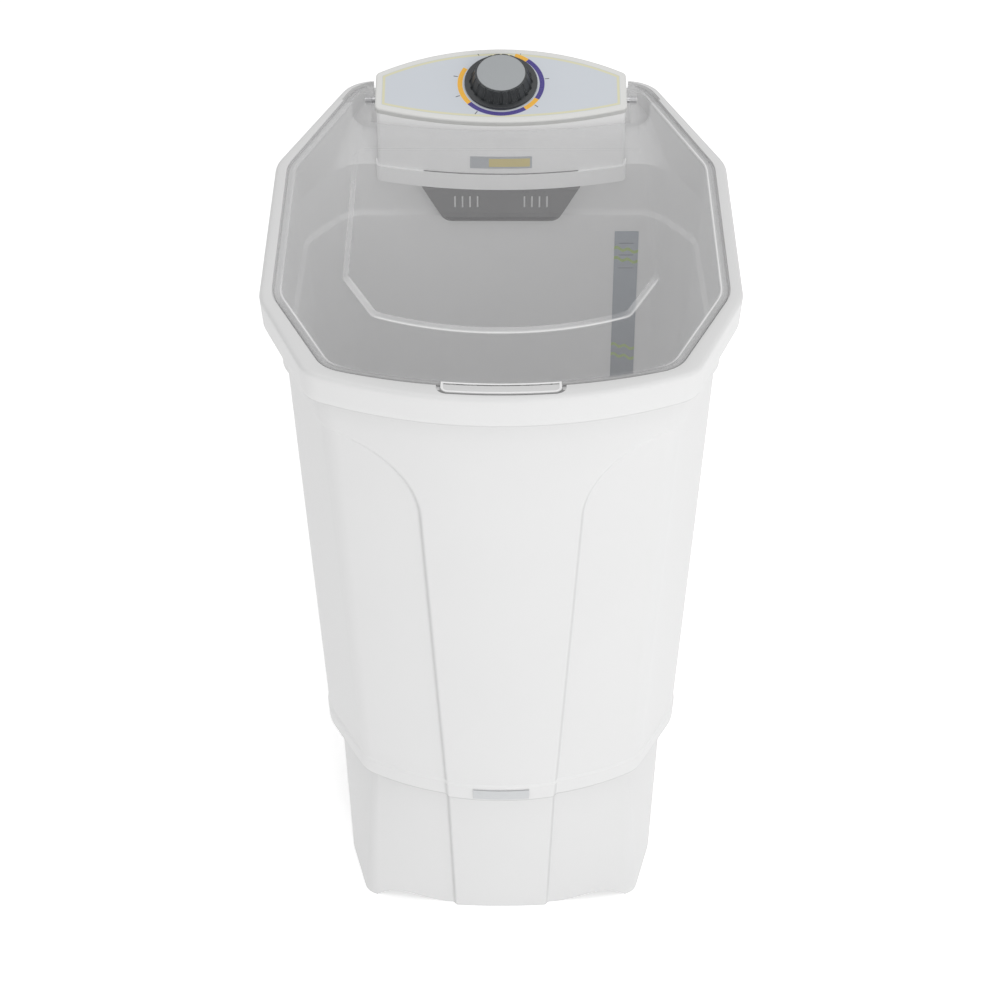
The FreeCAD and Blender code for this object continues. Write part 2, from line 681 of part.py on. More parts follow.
def tub():
    outer_panel = front_panel(0.0, BODY_FOOT_Z)
    inner_panel = front_panel(TUB_WALL, FLOOR_Z)
    raised = body_loft(-PANEL_RAISE, BODY_FOOT_Z, HOPPER_Z)
    band = body_loft(-BAND_PROUD, BODY_FOOT_Z, FLOOR_UNDER_Z)
    raised_band = body_loft(-PANEL_RAISE - BAND_PROUD, BODY_FOOT_Z, FLOOR_UNDER_Z).common(outer_panel)
    collar = loft(outline(body_plan(HOPPER_Z), -PANEL_RAISE, HOPPER_Z), outline(COLLAR, 0.0, SEAT_Z))
    rim = loft(outline(RIM, LIP_DRAFT, LIP_Z), outline(RIM, 0.0, RIM_Z))
    rim = rim.makeFillet(RIM_EDGE_ROUND, [e for e in rim.Edges if e.BoundBox.ZMin > RIM_Z - OVERCUT])
    rim_inside = loft(outline(RIM, LIP_DRAFT + LIP_WALL, LIP_Z), outline(RIM, LIP_WALL, FLANGE_UNDER_Z))
    pocket_z = SEAT_Z - TAB_POCKET_DEPTH
    pocket_block = tab_prism(TAB_GAP + LIP_WALL, pocket_z - TAB_POCKET_FLOOR, RIM_Z).common(rim)
    before_collar = block(V(-BIG, -BIG, 0), V(BIG, behind(COLLAR.front), BIG))
    pocket = tab_prism(TAB_GAP, pocket_z, RIM_Z).common(before_collar)
    trough = swing_room(TUB_WALL).common(prism(outline(RIM, LIP_WALL, BASE_SEAT_Z), SEAT_Z - BASE_SEAT_Z))
    shell = fused([body_loft(0.0, BODY_FOOT_Z, HOPPER_Z), raised.common(outer_panel),
                   raised.common(above_collar(0.0)), collar, band, raised_band, rim.cut(rim_inside),
                   pocket_block, trough])

    cavity = body_loft(TUB_WALL, FLOOR_Z, HOPPER_Z)
    raised_cavity = body_loft(TUB_WALL - PANEL_RAISE, FLOOR_Z, HOPPER_Z)
    hopper = loft(outline(body_plan(HOPPER_Z), TUB_WALL - PANEL_RAISE, HOPPER_Z),
                  outline(COLLAR, TUB_WALL, FLANGE_UNDER_Z))
    mouth = prism(outline(LID, LID_SEAT_WIDTH, FLANGE_UNDER_Z), LIP_HEIGHT).common(
        prism(outline(COLLAR, TUB_WALL, FLANGE_UNDER_Z), LIP_HEIGHT))
    seat = prism(outline(LID, -LID_SEAT_GAP, SEAT_Z), LIP_HEIGHT)
    underside = prism(outline(BODY_FOOT, TUB_WALL, BODY_FOOT_Z - OVERCUT), BAND_HEIGHT + OVERCUT)
    slit_half = CONSOLE_HALF_WIDTH - BEZEL_OVERHANG + CONSOLE_SLIT
    notch_half = CONSOLE_HALF_WIDTH + CONSOLE_GAP
    console_cut = fused([block(V(-slit_half, behind(CONSOLE_FRONT), BASE_SEAT_Z), V(slit_half, BIG, BIG)),
                         block(V(-notch_half, behind(CONSOLE_FRONT), HINGE_Z - NOTCH_DROP),
                               V(notch_half, BIG, BIG))])
    swing = swing_room(0.0).common(prism(outline(LID, -LID_SEAT_GAP, BASE_SEAT_Z), RIM_Z))
    relief = prism(outline(LID, -LID_SEAT_GAP - TROUGH_RELIEF, HINGE_Z - RELIEF_DROP), RIM_Z)
    shell = without(shell, [cavity, raised_cavity.common(inner_panel),
                            raised_cavity.common(above_collar(TUB_WALL)), hopper, mouth, seat,
                            pocket, tab_prism(TAB_GAP, SEAT_Z, RIM_Z + OVERCUT), underside, console_cut,
                            swing, swing_room(0.0).common(relief)])

    adds = [rod(at(DRIVE, PAD_UNDER_Z), at(DRIVE, FLOOR_UNDER_Z + OVERCUT), FLOOR_PAD_RADIUS)]
    holes = [rod(at(DRIVE, 0), at(DRIVE, RIM_Z), SEAL_RADIUS)]
    seats = [(place, FLOOR_UNDER_Z - BASE_BOSS) for place in base_boss_places()]
    seats += [(place, BRACKET_TOP_Z) for place in bracket_bolt_places()]
    for place, foot_z in seats:
        adds.append(rod(at(place, foot_z), at(place, FLOOR_UNDER_Z + OVERCUT), BOSS_RADIUS))
        holes.append(rod(at(place, foot_z - OVERCUT), at(place, foot_z + SCREW_LENGTH), SCREW_RADIUS))
    for place in housing_screw_places():
        holes.append(rod(at(place, PAD_UNDER_Z - OVERCUT),
                         at(place, PAD_UNDER_Z - HOUSING_FLANGE + SCREW_LENGTH), SCREW_RADIUS))
    holes.append(rod(at(DRAIN, BODY_FOOT_Z), at(DRAIN, RIM_Z), DRAIN_RADIUS))
    return without(fused([shell] + adds), holes)


def base_skirt():
    def wall(inset):
        foot = outline(FOOT, inset, PAD_STAND)
        top = outline(BODY_FOOT, SKIRT_INSET + inset, BODY_FOOT_Z)
        neck = prism(outline(BODY_FOOT, SKIRT_INSET + inset, BODY_FOOT_Z), BAND_HEIGHT)
        return fused([loft(foot, top), neck])

    outer = wall(0.0)
    foot = V(SKIRT_PANEL_FOOT_HALF, behind(0), PAD_STAND)
    top = V(PANEL_FOOT_HALF, behind(0), BODY_FOOT_Z)
    panel = prism(polygon([foot, top, mirrored(top), mirrored(foot)]), DRIVE_DEPTH / 2, BACKWARD)
    raised = wall(-PANEL_RAISE).common(panel)
    shell = fused([outer, raised]).cut(wall(SKIRT_WALL))

    adds = []
    cuts = []
    for place in pad_places():
        column = rod(at(place, PAD_STAND), at(place, FOOT_COLUMN_HEIGHT), PAD_RADIUS + FOOT_COLUMN_WALL)
        adds.append(column.common(outer))
        cuts.append(rod(at(place, 0), at(place, PAD_HEIGHT), PAD_RADIUS))
    tab_z = FLOOR_UNDER_Z - BASE_BOSS - BASE_TAB
    for place in base_boss_places():
        reach = V(BASE_TAB_REACH / 2, BASE_TAB_WIDTH / 2, 0)
        wall_reach = V(math.copysign(SKIRT_WALL, place.x), 0, 0)
        tab = block(at(place, tab_z) - reach, at(place, tab_z + BASE_TAB) + reach)
        tie = tab.copy()
        tie.translate(wall_reach)
        adds.append(fused([tab, tie]).common(outer))
        cuts.append(rod(at(place, tab_z - OVERCUT), at(place, FLOOR_UNDER_Z), SCREW_RADIUS))
    shell = fused([shell] + adds)

    def arch(start, end, way, reach, peak=0.5):
        middle = start + (end - start) * peak + UP * ARCH_RISE
        wire = Part.Wire([arc((start, middle, end)), Part.makeLine(end, start)])
        return prism(wire, reach, way)

    arch_end = FOOT_HALF_WIDTH - FOOT_CHAMFER_WIDTH - FOOT_ROUND / 2
    for side in (-1, 1):
        cuts.append(arch(V(side * (SKIRT_PANEL_FOOT_HALF + PANEL_RAISE), behind(0), PAD_STAND),
                         V(side * arch_end, behind(0), PAD_STAND), BACKWARD, FOOT_FRONT + ARCH_END_GAP,
                         ARCH_PEAK_SHARE))
        side_start = FOOT_FRONT + FOOT_CHAMFER_LENGTH + ARCH_END_GAP
        side_end = FOOT_REAR - FOOT_CHAMFER_LENGTH - ARCH_END_GAP
        cuts.append(arch(V(0, behind(side_start), PAD_STAND), V(0, behind(side_end), PAD_STAND),
                         ACROSS * side, BIG))
    rear_start = V(ARCH_END_GAP - arch_end, SKIRT_REAR_Y - ARCH_END_GAP, PAD_STAND)
    cuts.append(arch(rear_start, mirrored(rear_start), BACKWARD, BIG))
    bend = at(DRAIN, ELBOW_Z)
    cuts.append(rod(bend, bend + BACKWARD * BIG, ELBOW_RADIUS + WALL_HOLE_GAP))
    entry = V(HARNESS_X, MOTOR.y, HARNESS_ENTRY_Z)
    cuts.append(rod(entry, entry + BACKWARD * BIG, GROMMET_RADIUS))
    gland = V(GLAND_X, MOTOR.y, GLAND_Z)
    cuts.append(rod(gland, gland + BACKWARD * BIG, GLAND_RADIUS))
    return without(shell, cuts)


def pad_places():
    x = FOOT_HALF_WIDTH - PAD_INSET
    return [V(side * x, y, 0) for side in (-1, 1)
            for y in (behind(FOOT_FRONT + PAD_INSET + FOOT_ROUND / 2), behind(FOOT_REAR - PAD_INSET))]


def foot_pads():
    return Part.makeCompound([rod(at(p, 0), at(p, PAD_HEIGHT), PAD_RADIUS) for p in pad_places()])


def base_screws():
    seat = FLOOR_UNDER_Z - BASE_BOSS - BASE_TAB
    return Part.makeCompound([screw(at(p, seat), UP) for p in base_boss_places()])


def lid():
    plate = prism(outline(LID, 0.0, SEAT_Z), LID_THICKNESS)
    top_z = SEAT_Z + LID_THICKNESS

    def raised(inset, low):
        return loft(outline(EMBOSS, inset, low), outline(EMBOSS, inset + EMBOSS_SLOPE, low + EMBOSS_RAISE))

    plate = fused([plate, raised(0.0, top_z)]).cut(raised(LID_THICKNESS / 2, SEAT_Z))
    plate = fused([plate, tab_prism(0.0, SEAT_Z, top_z)])

    # The notch clears the bezel's front edge, the knob and the console's ends through the whole swing.
    def swing(depth):
        bezel_z = BEZEL_FRONT_Z + (depth - CONSOLE_FRONT) * math.tan(TILT)
        return math.hypot(HINGE_DEPTH - depth, bezel_z - HINGE_Z)

    notch_middle = HINGE_DEPTH - swing(CONSOLE_FRONT) - LID_SWEEP_GAP
    notch_end = HINGE_DEPTH - swing(CONSOLE_END_FRONT) - LID_SWEEP_GAP
    x = CONSOLE_HALF_WIDTH + CONSOLE_GAP
    start = V(-x, behind(notch_end), 0)
    end = V(x, behind(notch_end), 0)
    notch = Part.Wire([arc((start, V(0, behind(notch_middle), 0), end)),
                       Part.makeLine(end, end + BACKWARD * BIG),
                       Part.makeLine(end + BACKWARD * BIG, start + BACKWARD * BIG),
                       Part.makeLine(start + BACKWARD * BIG, start)])
    plate = plate.cut(prism(notch, RIM_Z + BIG))

    lugs = []
    bores = []
    for side in (-1, 1):
        inner = V(side * (CONSOLE_HALF_WIDTH + LUG_GAP), behind(HINGE_DEPTH), HINGE_Z)
        outer = inner + ACROSS * side * LUG_WIDTH
        lugs.append(rod(inner, outer, LUG_RADIUS))
        low = V(min(inner.x, outer.x), inner.y - LUG_RADIUS, HINGE_Z)
        lugs.append(block(low, V(low.x + LUG_WIDTH, inner.y + LUG_RADIUS, top_z)))
        bore_end = outer + ACROSS * side * (PIN_PROUD + LID_SEAT_GAP)
        bores.append(rod(inner - ACROSS * side * LUG_GAP, bore_end, PIN_RADIUS + RUNNING_CLEARANCE))
    return without(fused([plate] + lugs), bores)


def hinge_pins():
    pins = []
    for side in (-1, 1):
        wall = V(side * (CONSOLE_HALF_WIDTH - BEZEL_OVERHANG - CONSOLE_WALL), behind(HINGE_DEPTH), HINGE_Z)
        tip = V(side * (CONSOLE_HALF_WIDTH + LUG_GAP + LUG_WIDTH + PIN_PROUD), wall.y, HINGE_Z)
        head = rod(wall - ACROSS * side * PIN_HEAD, wall, PIN_HEAD_RADIUS)
        pins.append(fused([head, rod(wall, tip, PIN_RADIUS)]))
    return Part.makeCompound(pins)


def console_housing():
    outer = in_console(eye_prism(BEZEL_OVERHANG, CONSOLE_FOOT_Z, RIM_Z + BIG / 10))
    inner = in_console(eye_prism(BEZEL_OVERHANG + CONSOLE_WALL, CONSOLE_FOOT_Z, RIM_Z + BIG / 10))
    over = on_panel(block(V(-BIG, -BIG, -BEZEL_THICKNESS), V(BIG, BIG, BIG)))
    wall = without(outer, [inner])
    bosses = []
    holes = []
    for place in console_boss_places():
        half = V(CONSOLE_BOSS / 2, CONSOLE_BOSS / 2, 0)
        tie = V(math.copysign(CONSOLE_BOSS / 2, place.x), 0, 0)
        low = at(place, CONSOLE_FOOT_Z)
        post = block(low - half, low + half + UP * CONSOLE_BOSS_HEIGHT)
        web = post.copy()
        web.translate(tie)
        bosses.append(fused([post, web]).common(outer))
        holes.append(rod(low - UP * OVERCUT, low + UP * SCREW_LENGTH, SCREW_RADIUS))
    for side in (-1, 1):
        start = V(0, behind(HINGE_DEPTH), HINGE_Z)
        holes.append(rod(start, start + ACROSS * side * BIG, PIN_RADIUS))
    return without(fused([wall] + bosses), holes + [over])


def console_boss_places():
    x = CONSOLE_HALF_WIDTH - BEZEL_OVERHANG - CONSOLE_WALL - CONSOLE_BOSS / 2
    y = tub_rear_inside(BASE_SEAT_Z) + TUB_WALL + CONSOLE_BOSS / 2 + WALL_HOLE_GAP
    return [V(side * x, y, 0) for side in (-1, 1)]


def console_screws():
    return Part.makeCompound([screw(at(p, BASE_SEAT_Z), UP) for p in console_boss_places()])


def tub_rear_inside(z):
    """Inner face of the tub's raised back wall at height z."""
    return behind(body_plan(z).rear + PANEL_RAISE - TUB_WALL)


def console_base():
    plate = in_console(eye_prism(BEZEL_OVERHANG - BASE_PROUD, BASE_SEAT_Z, CONSOLE_FOOT_Z))
    band_z = BASE_SEAT_Z - BAND_DROP
    band = in_console(eye_prism(BEZEL_OVERHANG - BASE_PROUD, band_z, BASE_SEAT_Z))
    front_room = block(V(-BIG, -BIG, 0), V(BIG, tub_rear_inside(band_z) - WALL_HOLE_GAP, BIG))
    result = fused([plate, band.common(front_room)])
    holes = [rod(at(p, 0), at(p, BIG), SCREW_RADIUS) for p in console_boss_places()]
    place = harness_pass()
    holes.append(rod(at(place, 0), at(place, BIG), HARNESS_RADIUS + HARNESS_HOLE_GAP))
    holes += tongues(FILTER_GAP)
    return without(result, holes)


def console_bezel():
    solid = eye_prism(0.0, -BEZEL_THICKNESS, 0.0, PANEL_WAY)
    top_edges = [e for e in solid.Edges if e.BoundBox.ZMin > -1e-3]
    solid = solid.makeFillet(BEZEL_EDGE_ROUND, top_edges)
    recess = eye_prism(OVERLAY_BORDER, -OVERLAY_THICKNESS, OVERCUT, PANEL_WAY)
    hole = rod(V(0, KNOB_UP, -BIG), V(0, KNOB_UP, BIG), TIMER_SHAFT_RADIUS + SHAFT_HOLE_GAP)
    return on_panel(without(solid, [recess, hole]))


def console_overlay():
    sheet = eye_prism(OVERLAY_BORDER, -OVERLAY_THICKNESS, 0.0, PANEL_WAY)
    hole = rod(V(0, KNOB_UP, -BIG), V(0, KNOB_UP, BIG), TIMER_SHAFT_RADIUS + SHAFT_HOLE_GAP)
    return on_panel(sheet.cut(hole))


def console_label():
    low = CONSOLE_FOOT_Z
    back = BEZEL_OVERHANG - GLUE
    skin = prism(eye(back - LABEL_THICKNESS, low), RIM_Z - low).cut(prism(eye(back, low), RIM_Z - low))
    half = V(LABEL_WIDTH / 2, 0, LABEL_HEIGHT / 2)
    window = block(V(0, -BIG, LABEL_Z) - half, V(0, CONSOLE_FRONT_BOW, LABEL_Z) + half)
    return in_console(skin.common(window))


def timer_body():
    half = V(TIMER_WIDTH / 2, TIMER_LENGTH / 2, 0)
    centre = V(0, KNOB_UP, -BEZEL_THICKNESS)
    case = block(centre - half - UP * TIMER_DEPTH, centre + half)
    bore = rod(centre - UP * TIMER_SHAFT_SINK, centre + UP * OVERCUT, TIMER_SHAFT_RADIUS + RUNNING_CLEARANCE)
    return on_panel(case.cut(bore))


def timer_shaft():
    low = V(0, KNOB_UP, -BEZEL_THICKNESS - TIMER_SHAFT_SINK + END_PLAY)
    return on_panel(rod(low, V(0, KNOB_UP, KNOB_LIFT + KNOB_HEIGHT - CAP_THICKNESS), TIMER_SHAFT_RADIUS))


def timer_knob():
    top = KNOB_HEIGHT - CAP_THICKNESS + CAP_PROUD
    floor = top - KNOB_SHELL
    hub = TIMER_SHAFT_RADIUS + KNOB_SHELL
    profile = [(TIMER_SHAFT_RADIUS, 0), (hub, 0), (hub, floor), (KNOB_TOP_RADIUS - KNOB_SHELL, floor),
               (KNOB_FOOT_RADIUS - KNOB_SHELL, 0), (KNOB_FLANGE_RADIUS, 0),
               (KNOB_FLANGE_RADIUS, KNOB_FLANGE), (KNOB_FOOT_RADIUS, KNOB_FLANGE),
               (KNOB_TOP_RADIUS, KNOB_HEIGHT), (CAP_RADIUS, KNOB_HEIGHT), (CAP_RADIUS, top),
               (TIMER_SHAFT_RADIUS, top)]
    knob = turned(profile, V(0, KNOB_UP, KNOB_LIFT))
    flutes = []
    lean = KNOB_FOOT_RADIUS - KNOB_TOP_RADIUS
    for place in around(V(0, KNOB_UP, KNOB_LIFT), 1.0, FLUTE_COUNT):
        out = place - V(0, KNOB_UP, KNOB_LIFT)
        foot = V(0, KNOB_UP, KNOB_LIFT + KNOB_FLANGE) + out * (KNOB_FOOT_RADIUS + FLUTE_RADIUS - FLUTE_DEPTH)
        head = foot + UP * (KNOB_HEIGHT - KNOB_FLANGE) - out * lean
        flutes.append(rod(foot, head + UP * OVERCUT, FLUTE_RADIUS))
    return on_panel(knob.cut(flutes))


def knob_cap():
    low = V(0, KNOB_UP, KNOB_LIFT + KNOB_HEIGHT - CAP_THICKNESS + CAP_PROUD)
    disc = rod(low, low + UP * CAP_THICKNESS, CAP_RADIUS)
    edges = [e for e in disc.Edges if e.BoundBox.ZMin > low.z + CAP_THICKNESS / 2 and e.Closed]
    return on_panel(disc.makeFillet(CAP_PROUD / 2, edges))


FILTER_TOP_Z = BASE_SEAT_Z - BAND_DROP
FILTER_FOOT_Z = FILTER_TOP_Z - FILTER_HEIGHT


def filter_back():
    """Back of the filter, clear of the leaning tub wall down to the end of its travel."""
    return behind(body_plan(FILTER_FOOT_Z - FILTER_TRAVEL).rear - TUB_WALL - FILTER_GAP)


def filter_outline(inset, y):
    half = [V(FILTER_HALF_WIDTH - inset, y, FILTER_TOP_Z - inset),
            V(FILTER_KNEE_HALF - inset, y, FILTER_TOP_Z - FILTER_KNEE_DROP),
            V(FILTER_FOOT_HALF - inset, y, FILTER_FOOT_Z + inset)]
    return polygon(half + [mirrored(p) for p in half[::-1]])


def tongues(gap):
    """Pair of upright tongues that hold the filter in the console's band, larger by gap."""
    half = V(TONGUE_WIDTH / 2 + gap, TONGUE_THICKNESS / 2 + gap, 0)
    pair = []
    for side in (-1, 1):
        foot = V(side * TONGUE_X, (behind(FILTER_FRONT) + filter_back()) / 2, FILTER_TOP_Z)
        pair.append(block(foot - half, foot + half + UP * (TONGUE_HEIGHT + gap)))
    return pair


def filter_frame():
    front = behind(FILTER_FRONT)
    depth = filter_back() - front
    case = prism(filter_outline(0.0, front), depth, BACKWARD)
    hollow = prism(filter_outline(FILTER_WALL, front + FILTER_WALL), depth, BACKWARD)
    slot_z = FILTER_TOP_Z - SLOT_DROP - SLOT_HEIGHT
    half = V(SLOT_WIDTH / 2, OVERCUT, 0)
    slots = []
    for side in (-1, 1):
        for number in range(SLOTS_PER_SIDE):
            low = V(side * (SLOT_FIRST + SLOT_PITCH * number), front, slot_z)
            slots.append(block(low - half, low + half + V(0, FILTER_WALL, SLOT_HEIGHT)))
    return fused([without(case, [hollow] + slots)] + tongues(0.0))


def filter_net():
    back = filter_back() - NET_THICKNESS
    sheet = prism(filter_outline(FILTER_WALL, back), NET_THICKNESS, BACKWARD)
    top = FILTER_TOP_Z - FILTER_WALL - NET_PITCH
    columns = int((FILTER_FOOT_HALF - FILTER_WALL - NET_HOLE) / NET_PITCH)
    rows = int((FILTER_HEIGHT - FILTER_WALL * 2 - NET_HOLE) / NET_PITCH)
    half = V(NET_HOLE / 2, OVERCUT, NET_HOLE / 2)
    holes = []
    for column in range(-columns, columns + 1):
        for row in range(rows):
            middle = V(column * NET_PITCH, back, top - row * NET_PITCH)
            holes.append(block(middle - half, middle + half + BACKWARD * NET_THICKNESS))
    return without(sheet, holes)


def level_strip():
    face = TUB_WALL + GLUE
    skin = body_loft(face, FLOOR_Z, HOPPER_Z).cut(body_loft(face + STRIP_THICKNESS, FLOOR_Z, HOPPER_Z))
    return skin.common(block(V(STRIP_LEFT, behind(DRIVE_DEPTH), STRIP_FOOT_Z),
                             V(STRIP_LEFT + STRIP_WIDTH, BIG, STRIP_TOP_Z)))


def badge_plate():
    inset = -PANEL_RAISE - BAND_PROUD - GLUE
    skin = body_loft(inset - BADGE_THICKNESS, BODY_FOOT_Z, FLOOR_UNDER_Z).cut(
        body_loft(inset, BODY_FOOT_Z, FLOOR_UNDER_Z))
    half = BADGE_WIDTH / 2
    low = BODY_FOOT_Z + (BAND_HEIGHT - BADGE_HEIGHT) / 2
    return skin.common(block(V(-half, -BIG, low), V(half, behind(DRIVE_DEPTH / 2), low + BADGE_HEIGHT)))


def bearing_housing():
    top = at(DRIVE, PAD_UNDER_Z)
    flange = rod(top, top - UP * HOUSING_FLANGE, HOUSING_FLANGE_RADIUS)
    tube = rod(top, at(DRIVE, HOUSING_FOOT_Z), HOUSING_RADIUS)
    cuts = [rod(top, at(DRIVE, HOUSING_FOOT_Z), SHAFT_RADIUS + SHAFT_HOLE_GAP),
            rod(top, top - UP * BUSH_LENGTH, BUSH_RADIUS),
            rod(at(DRIVE, HOUSING_FOOT_Z), at(DRIVE, HOUSING_FOOT_Z + BUSH_LENGTH), BUSH_RADIUS)]
    for place in housing_screw_places():
        cuts.append(rod(at(place, 0), at(place, PAD_UNDER_Z), SCREW_RADIUS))
    return without(fused([flange, tube]), cuts)


def bush(foot_z):
    bore = SHAFT_RADIUS + RUNNING_CLEARANCE
    return ring(at(DRIVE, foot_z), at(DRIVE, foot_z + BUSH_LENGTH), BUSH_RADIUS, bore)


def shaft_seal():
    bore = SHAFT_RADIUS + RUNNING_CLEARANCE
    return ring(at(DRIVE, PAD_UNDER_Z), at(DRIVE, FLOOR_Z + SEAL_PROUD), SEAL_RADIUS, bore)


def housing_screws():
    seat = PAD_UNDER_Z - HOUSING_FLANGE
    return Part.makeCompound([screw(at(p, seat), UP) for p in housing_screw_places()])


IMPELLER_Z = FLOOR_Z + IMPELLER_LIFT
SHAFT_TOP_Z = IMPELLER_Z + IMPELLER_DOME
WASHER_TOP_Z = HOUSING_FOOT_Z - END_PLAY
HUB_TOP_Z = WASHER_TOP_Z - WASHER_THICKNESS
PULLEY_Z = MOTOR_FOOT_Z - PULLEY_WIDTH
PULLEY_TOP_Z = PULLEY_Z + PULLEY_WIDTH / 2
PULLEY_FOOT_Z = PULLEY_Z - PULLEY_WIDTH / 2


def impeller():
    slope_height = IMPELLER_DOME - IMPELLER_DISC
    profile = [(SHAFT_RADIUS, 0), (IMPELLER_HUB_RADIUS, 0), (IMPELLER_HUB_RADIUS, slope_height),
               (IMPELLER_RADIUS - IMPELLER_DISC, 0), (IMPELLER_RADIUS, 0), (IMPELLER_RADIUS, IMPELLER_DISC),
               (IMPELLER_HUB_RADIUS, IMPELLER_DOME), (SHAFT_RADIUS, IMPELLER_DOME)]
    disc = turned(profile, at(DRIVE, IMPELLER_Z))
    envelope = turned([(IMPELLER_HUB_RADIUS, IMPELLER_DISC),
                       (IMPELLER_RADIUS - IMPELLER_DISC, IMPELLER_DISC / 2),
                       (IMPELLER_RADIUS - VANE_HEIGHT, VANE_HEIGHT),
                       (IMPELLER_HUB_RADIUS + VANE_HEIGHT, VANE_HEIGHT),
                       (IMPELLER_HUB_RADIUS, IMPELLER_DOME)], at(DRIVE, IMPELLER_Z))
    below = turned([(0, -OVERCUT), (IMPELLER_RADIUS, -OVERCUT), (IMPELLER_RADIUS - IMPELLER_DISC, 0),
                    (IMPELLER_HUB_RADIUS, slope_height), (0, slope_height)], at(DRIVE, IMPELLER_Z))
    vanes = []
    for number in range(VANE_COUNT):
        vane = block(at(DRIVE, IMPELLER_Z) - V(0, VANE_WIDTH / 2, OVERCUT),
                     at(DRIVE, IMPELLER_Z + VANE_HEIGHT) + V(IMPELLER_RADIUS, VANE_WIDTH / 2, 0))
        vane.rotate(DRIVE, UP, 360 * number / VANE_COUNT)
        vanes.append(vane.common(envelope).cut(below))
    return fused([disc] + vanes)


def drive_shaft():
    low = at(DRIVE, PULLEY_FOOT_Z - NUT_HEIGHT - WASHER_THICKNESS)
    return without(rod(low, at(DRIVE, SHAFT_TOP_Z), SHAFT_RADIUS),
                   [rod(at(DRIVE, SHAFT_TOP_Z - SCREW_LENGTH), at(DRIVE, SHAFT_TOP_Z), SCREW_RADIUS)])


def impeller_bolt():
    seat = at(DRIVE, SHAFT_TOP_Z)
    head = rod(seat, seat + UP * SCREW_HEAD * 2, SHAFT_RADIUS + SCREW_HEAD)
    edges = [e for e in head.Edges if e.Closed and e.BoundBox.ZMin > seat.z + SCREW_HEAD]
    return fused([head.makeFillet(SCREW_HEAD / 2, edges), rod(seat, seat - UP * SCREW_LENGTH, SCREW_RADIUS)])


def thrust_washer():
    return ring(at(DRIVE, HUB_TOP_Z), at(DRIVE, WASHER_TOP_Z), WASHER_RADIUS, SHAFT_RADIUS)


def pulley(centre, radius, bore, hub_top, spoked):
    """Grooved pulley with a hub that runs up to hub_top."""
    half = PULLEY_WIDTH / 2
    groove = BELT_WIDTH / 2 + BELT_GAP
    bottom = radius - GROOVE_DEPTH
    rim_inside = bottom - SPOKE_WEB
    profile = [(radius, -half), (radius, -groove), (bottom, -groove), (bottom, groove), (radius, groove),
               (radius, half)]
    if spoked:
        web = SPOKE_WEB / 2
        profile += [(rim_inside, half), (rim_inside, web), (PULLEY_HUB_RADIUS, web),
                    (PULLEY_HUB_RADIUS, hub_top - PULLEY_Z), (bore, hub_top - PULLEY_Z), (bore, -half),
                    (PULLEY_HUB_RADIUS, -half), (PULLEY_HUB_RADIUS, -web), (rim_inside, -web),
                    (rim_inside, -half)]
    else:
        profile += [(bore, hub_top - PULLEY_Z), (bore, -half)]
    return turned(profile, at(centre, PULLEY_Z))


def driven_pulley():
    wheel = pulley(DRIVE, DRIVEN_RADIUS, SHAFT_RADIUS, HUB_TOP_Z, True)
    middle = (PULLEY_HUB_RADIUS + DRIVEN_RADIUS - GROOVE_DEPTH - SPOKE_WEB) / 2
    hole = middle * math.sin(math.pi / WEB_HOLES) - SPOKE_WEB
    places = around(DRIVE, middle, WEB_HOLES)
    return without(wheel, [rod(at(p, 0), at(p, FLOOR_UNDER_Z), hole) for p in places])


def pulley_nut():
    top = PULLEY_FOOT_Z
    corners = list(around(at(DRIVE, top - NUT_HEIGHT), NUT_WIDTH / math.sqrt(3), 6))
    return prism(polygon(corners), NUT_HEIGHT).cut(rod(at(DRIVE, 0), at(DRIVE, top), SHAFT_RADIUS))


def motor_pulley():
    return pulley(MOTOR, MOTOR_PULLEY_RADIUS, MOTOR_SHAFT_RADIUS, PULLEY_TOP_Z, False)


def drive_belt():
    def loop(grow):
        big = DRIVEN_RADIUS - GROOVE_DEPTH + BELT_GAP + grow
        small = MOTOR_PULLEY_RADIUS - GROOVE_DEPTH + BELT_GAP + grow
        lean = math.asin((big - small) / PULLEY_SPACING)
        tangent = V(math.cos(lean), math.sin(lean), 0)
        z = PULLEY_Z - BELT_WIDTH / 2
        big_right = at(DRIVE, z) + tangent * big
        small_right = at(MOTOR, z) + tangent * small
        edges = [arc((mirrored(big_right), at(DRIVE, z) - BACKWARD * big, big_right)),
                 Part.makeLine(big_right, small_right),
                 arc((small_right, at(MOTOR, z) + BACKWARD * small, mirrored(small_right))),
                 Part.makeLine(mirrored(small_right), mirrored(big_right))]
        return prism(Part.Wire(edges), BELT_WIDTH)

    return loop(BELT_THICKNESS).cut(loop(0.0))


STATOR_TOP_Z = (MOTOR_TOP_Z + MOTOR_FOOT_Z + STATOR_HEIGHT) / 2
STATOR_FOOT_Z = STATOR_TOP_Z - STATOR_HEIGHT


def motor_bell(face_z, stator_z):
    """End cup of the motor from its outer face to the stator, with a seat for a bush."""
    way = UP if stator_z > face_z else -UP
    face = at(MOTOR, face_z)
    cup = rod(face, at(MOTOR, stator_z), MOTOR_RADIUS)
    edges = [e for e in cup.Edges if e.Closed and abs(e.BoundBox.ZMin - face_z) < OVERCUT]
    cup = cup.makeFillet(MOTOR_SHELL * 2, edges)
    hollow = rod(face + way * MOTOR_SHELL, at(MOTOR, stator_z), MOTOR_RADIUS - MOTOR_SHELL)
    seat = rod(face, face + way * MOTOR_BUSH_LENGTH, MOTOR_BUSH_RADIUS + MOTOR_SHELL)
    bores = [rod(face - way * OVERCUT, face + way * (MOTOR_BUSH_LENGTH + OVERCUT), MOTOR_BUSH_RADIUS)]
    return without(fused([cup.cut(hollow), seat]), bores)


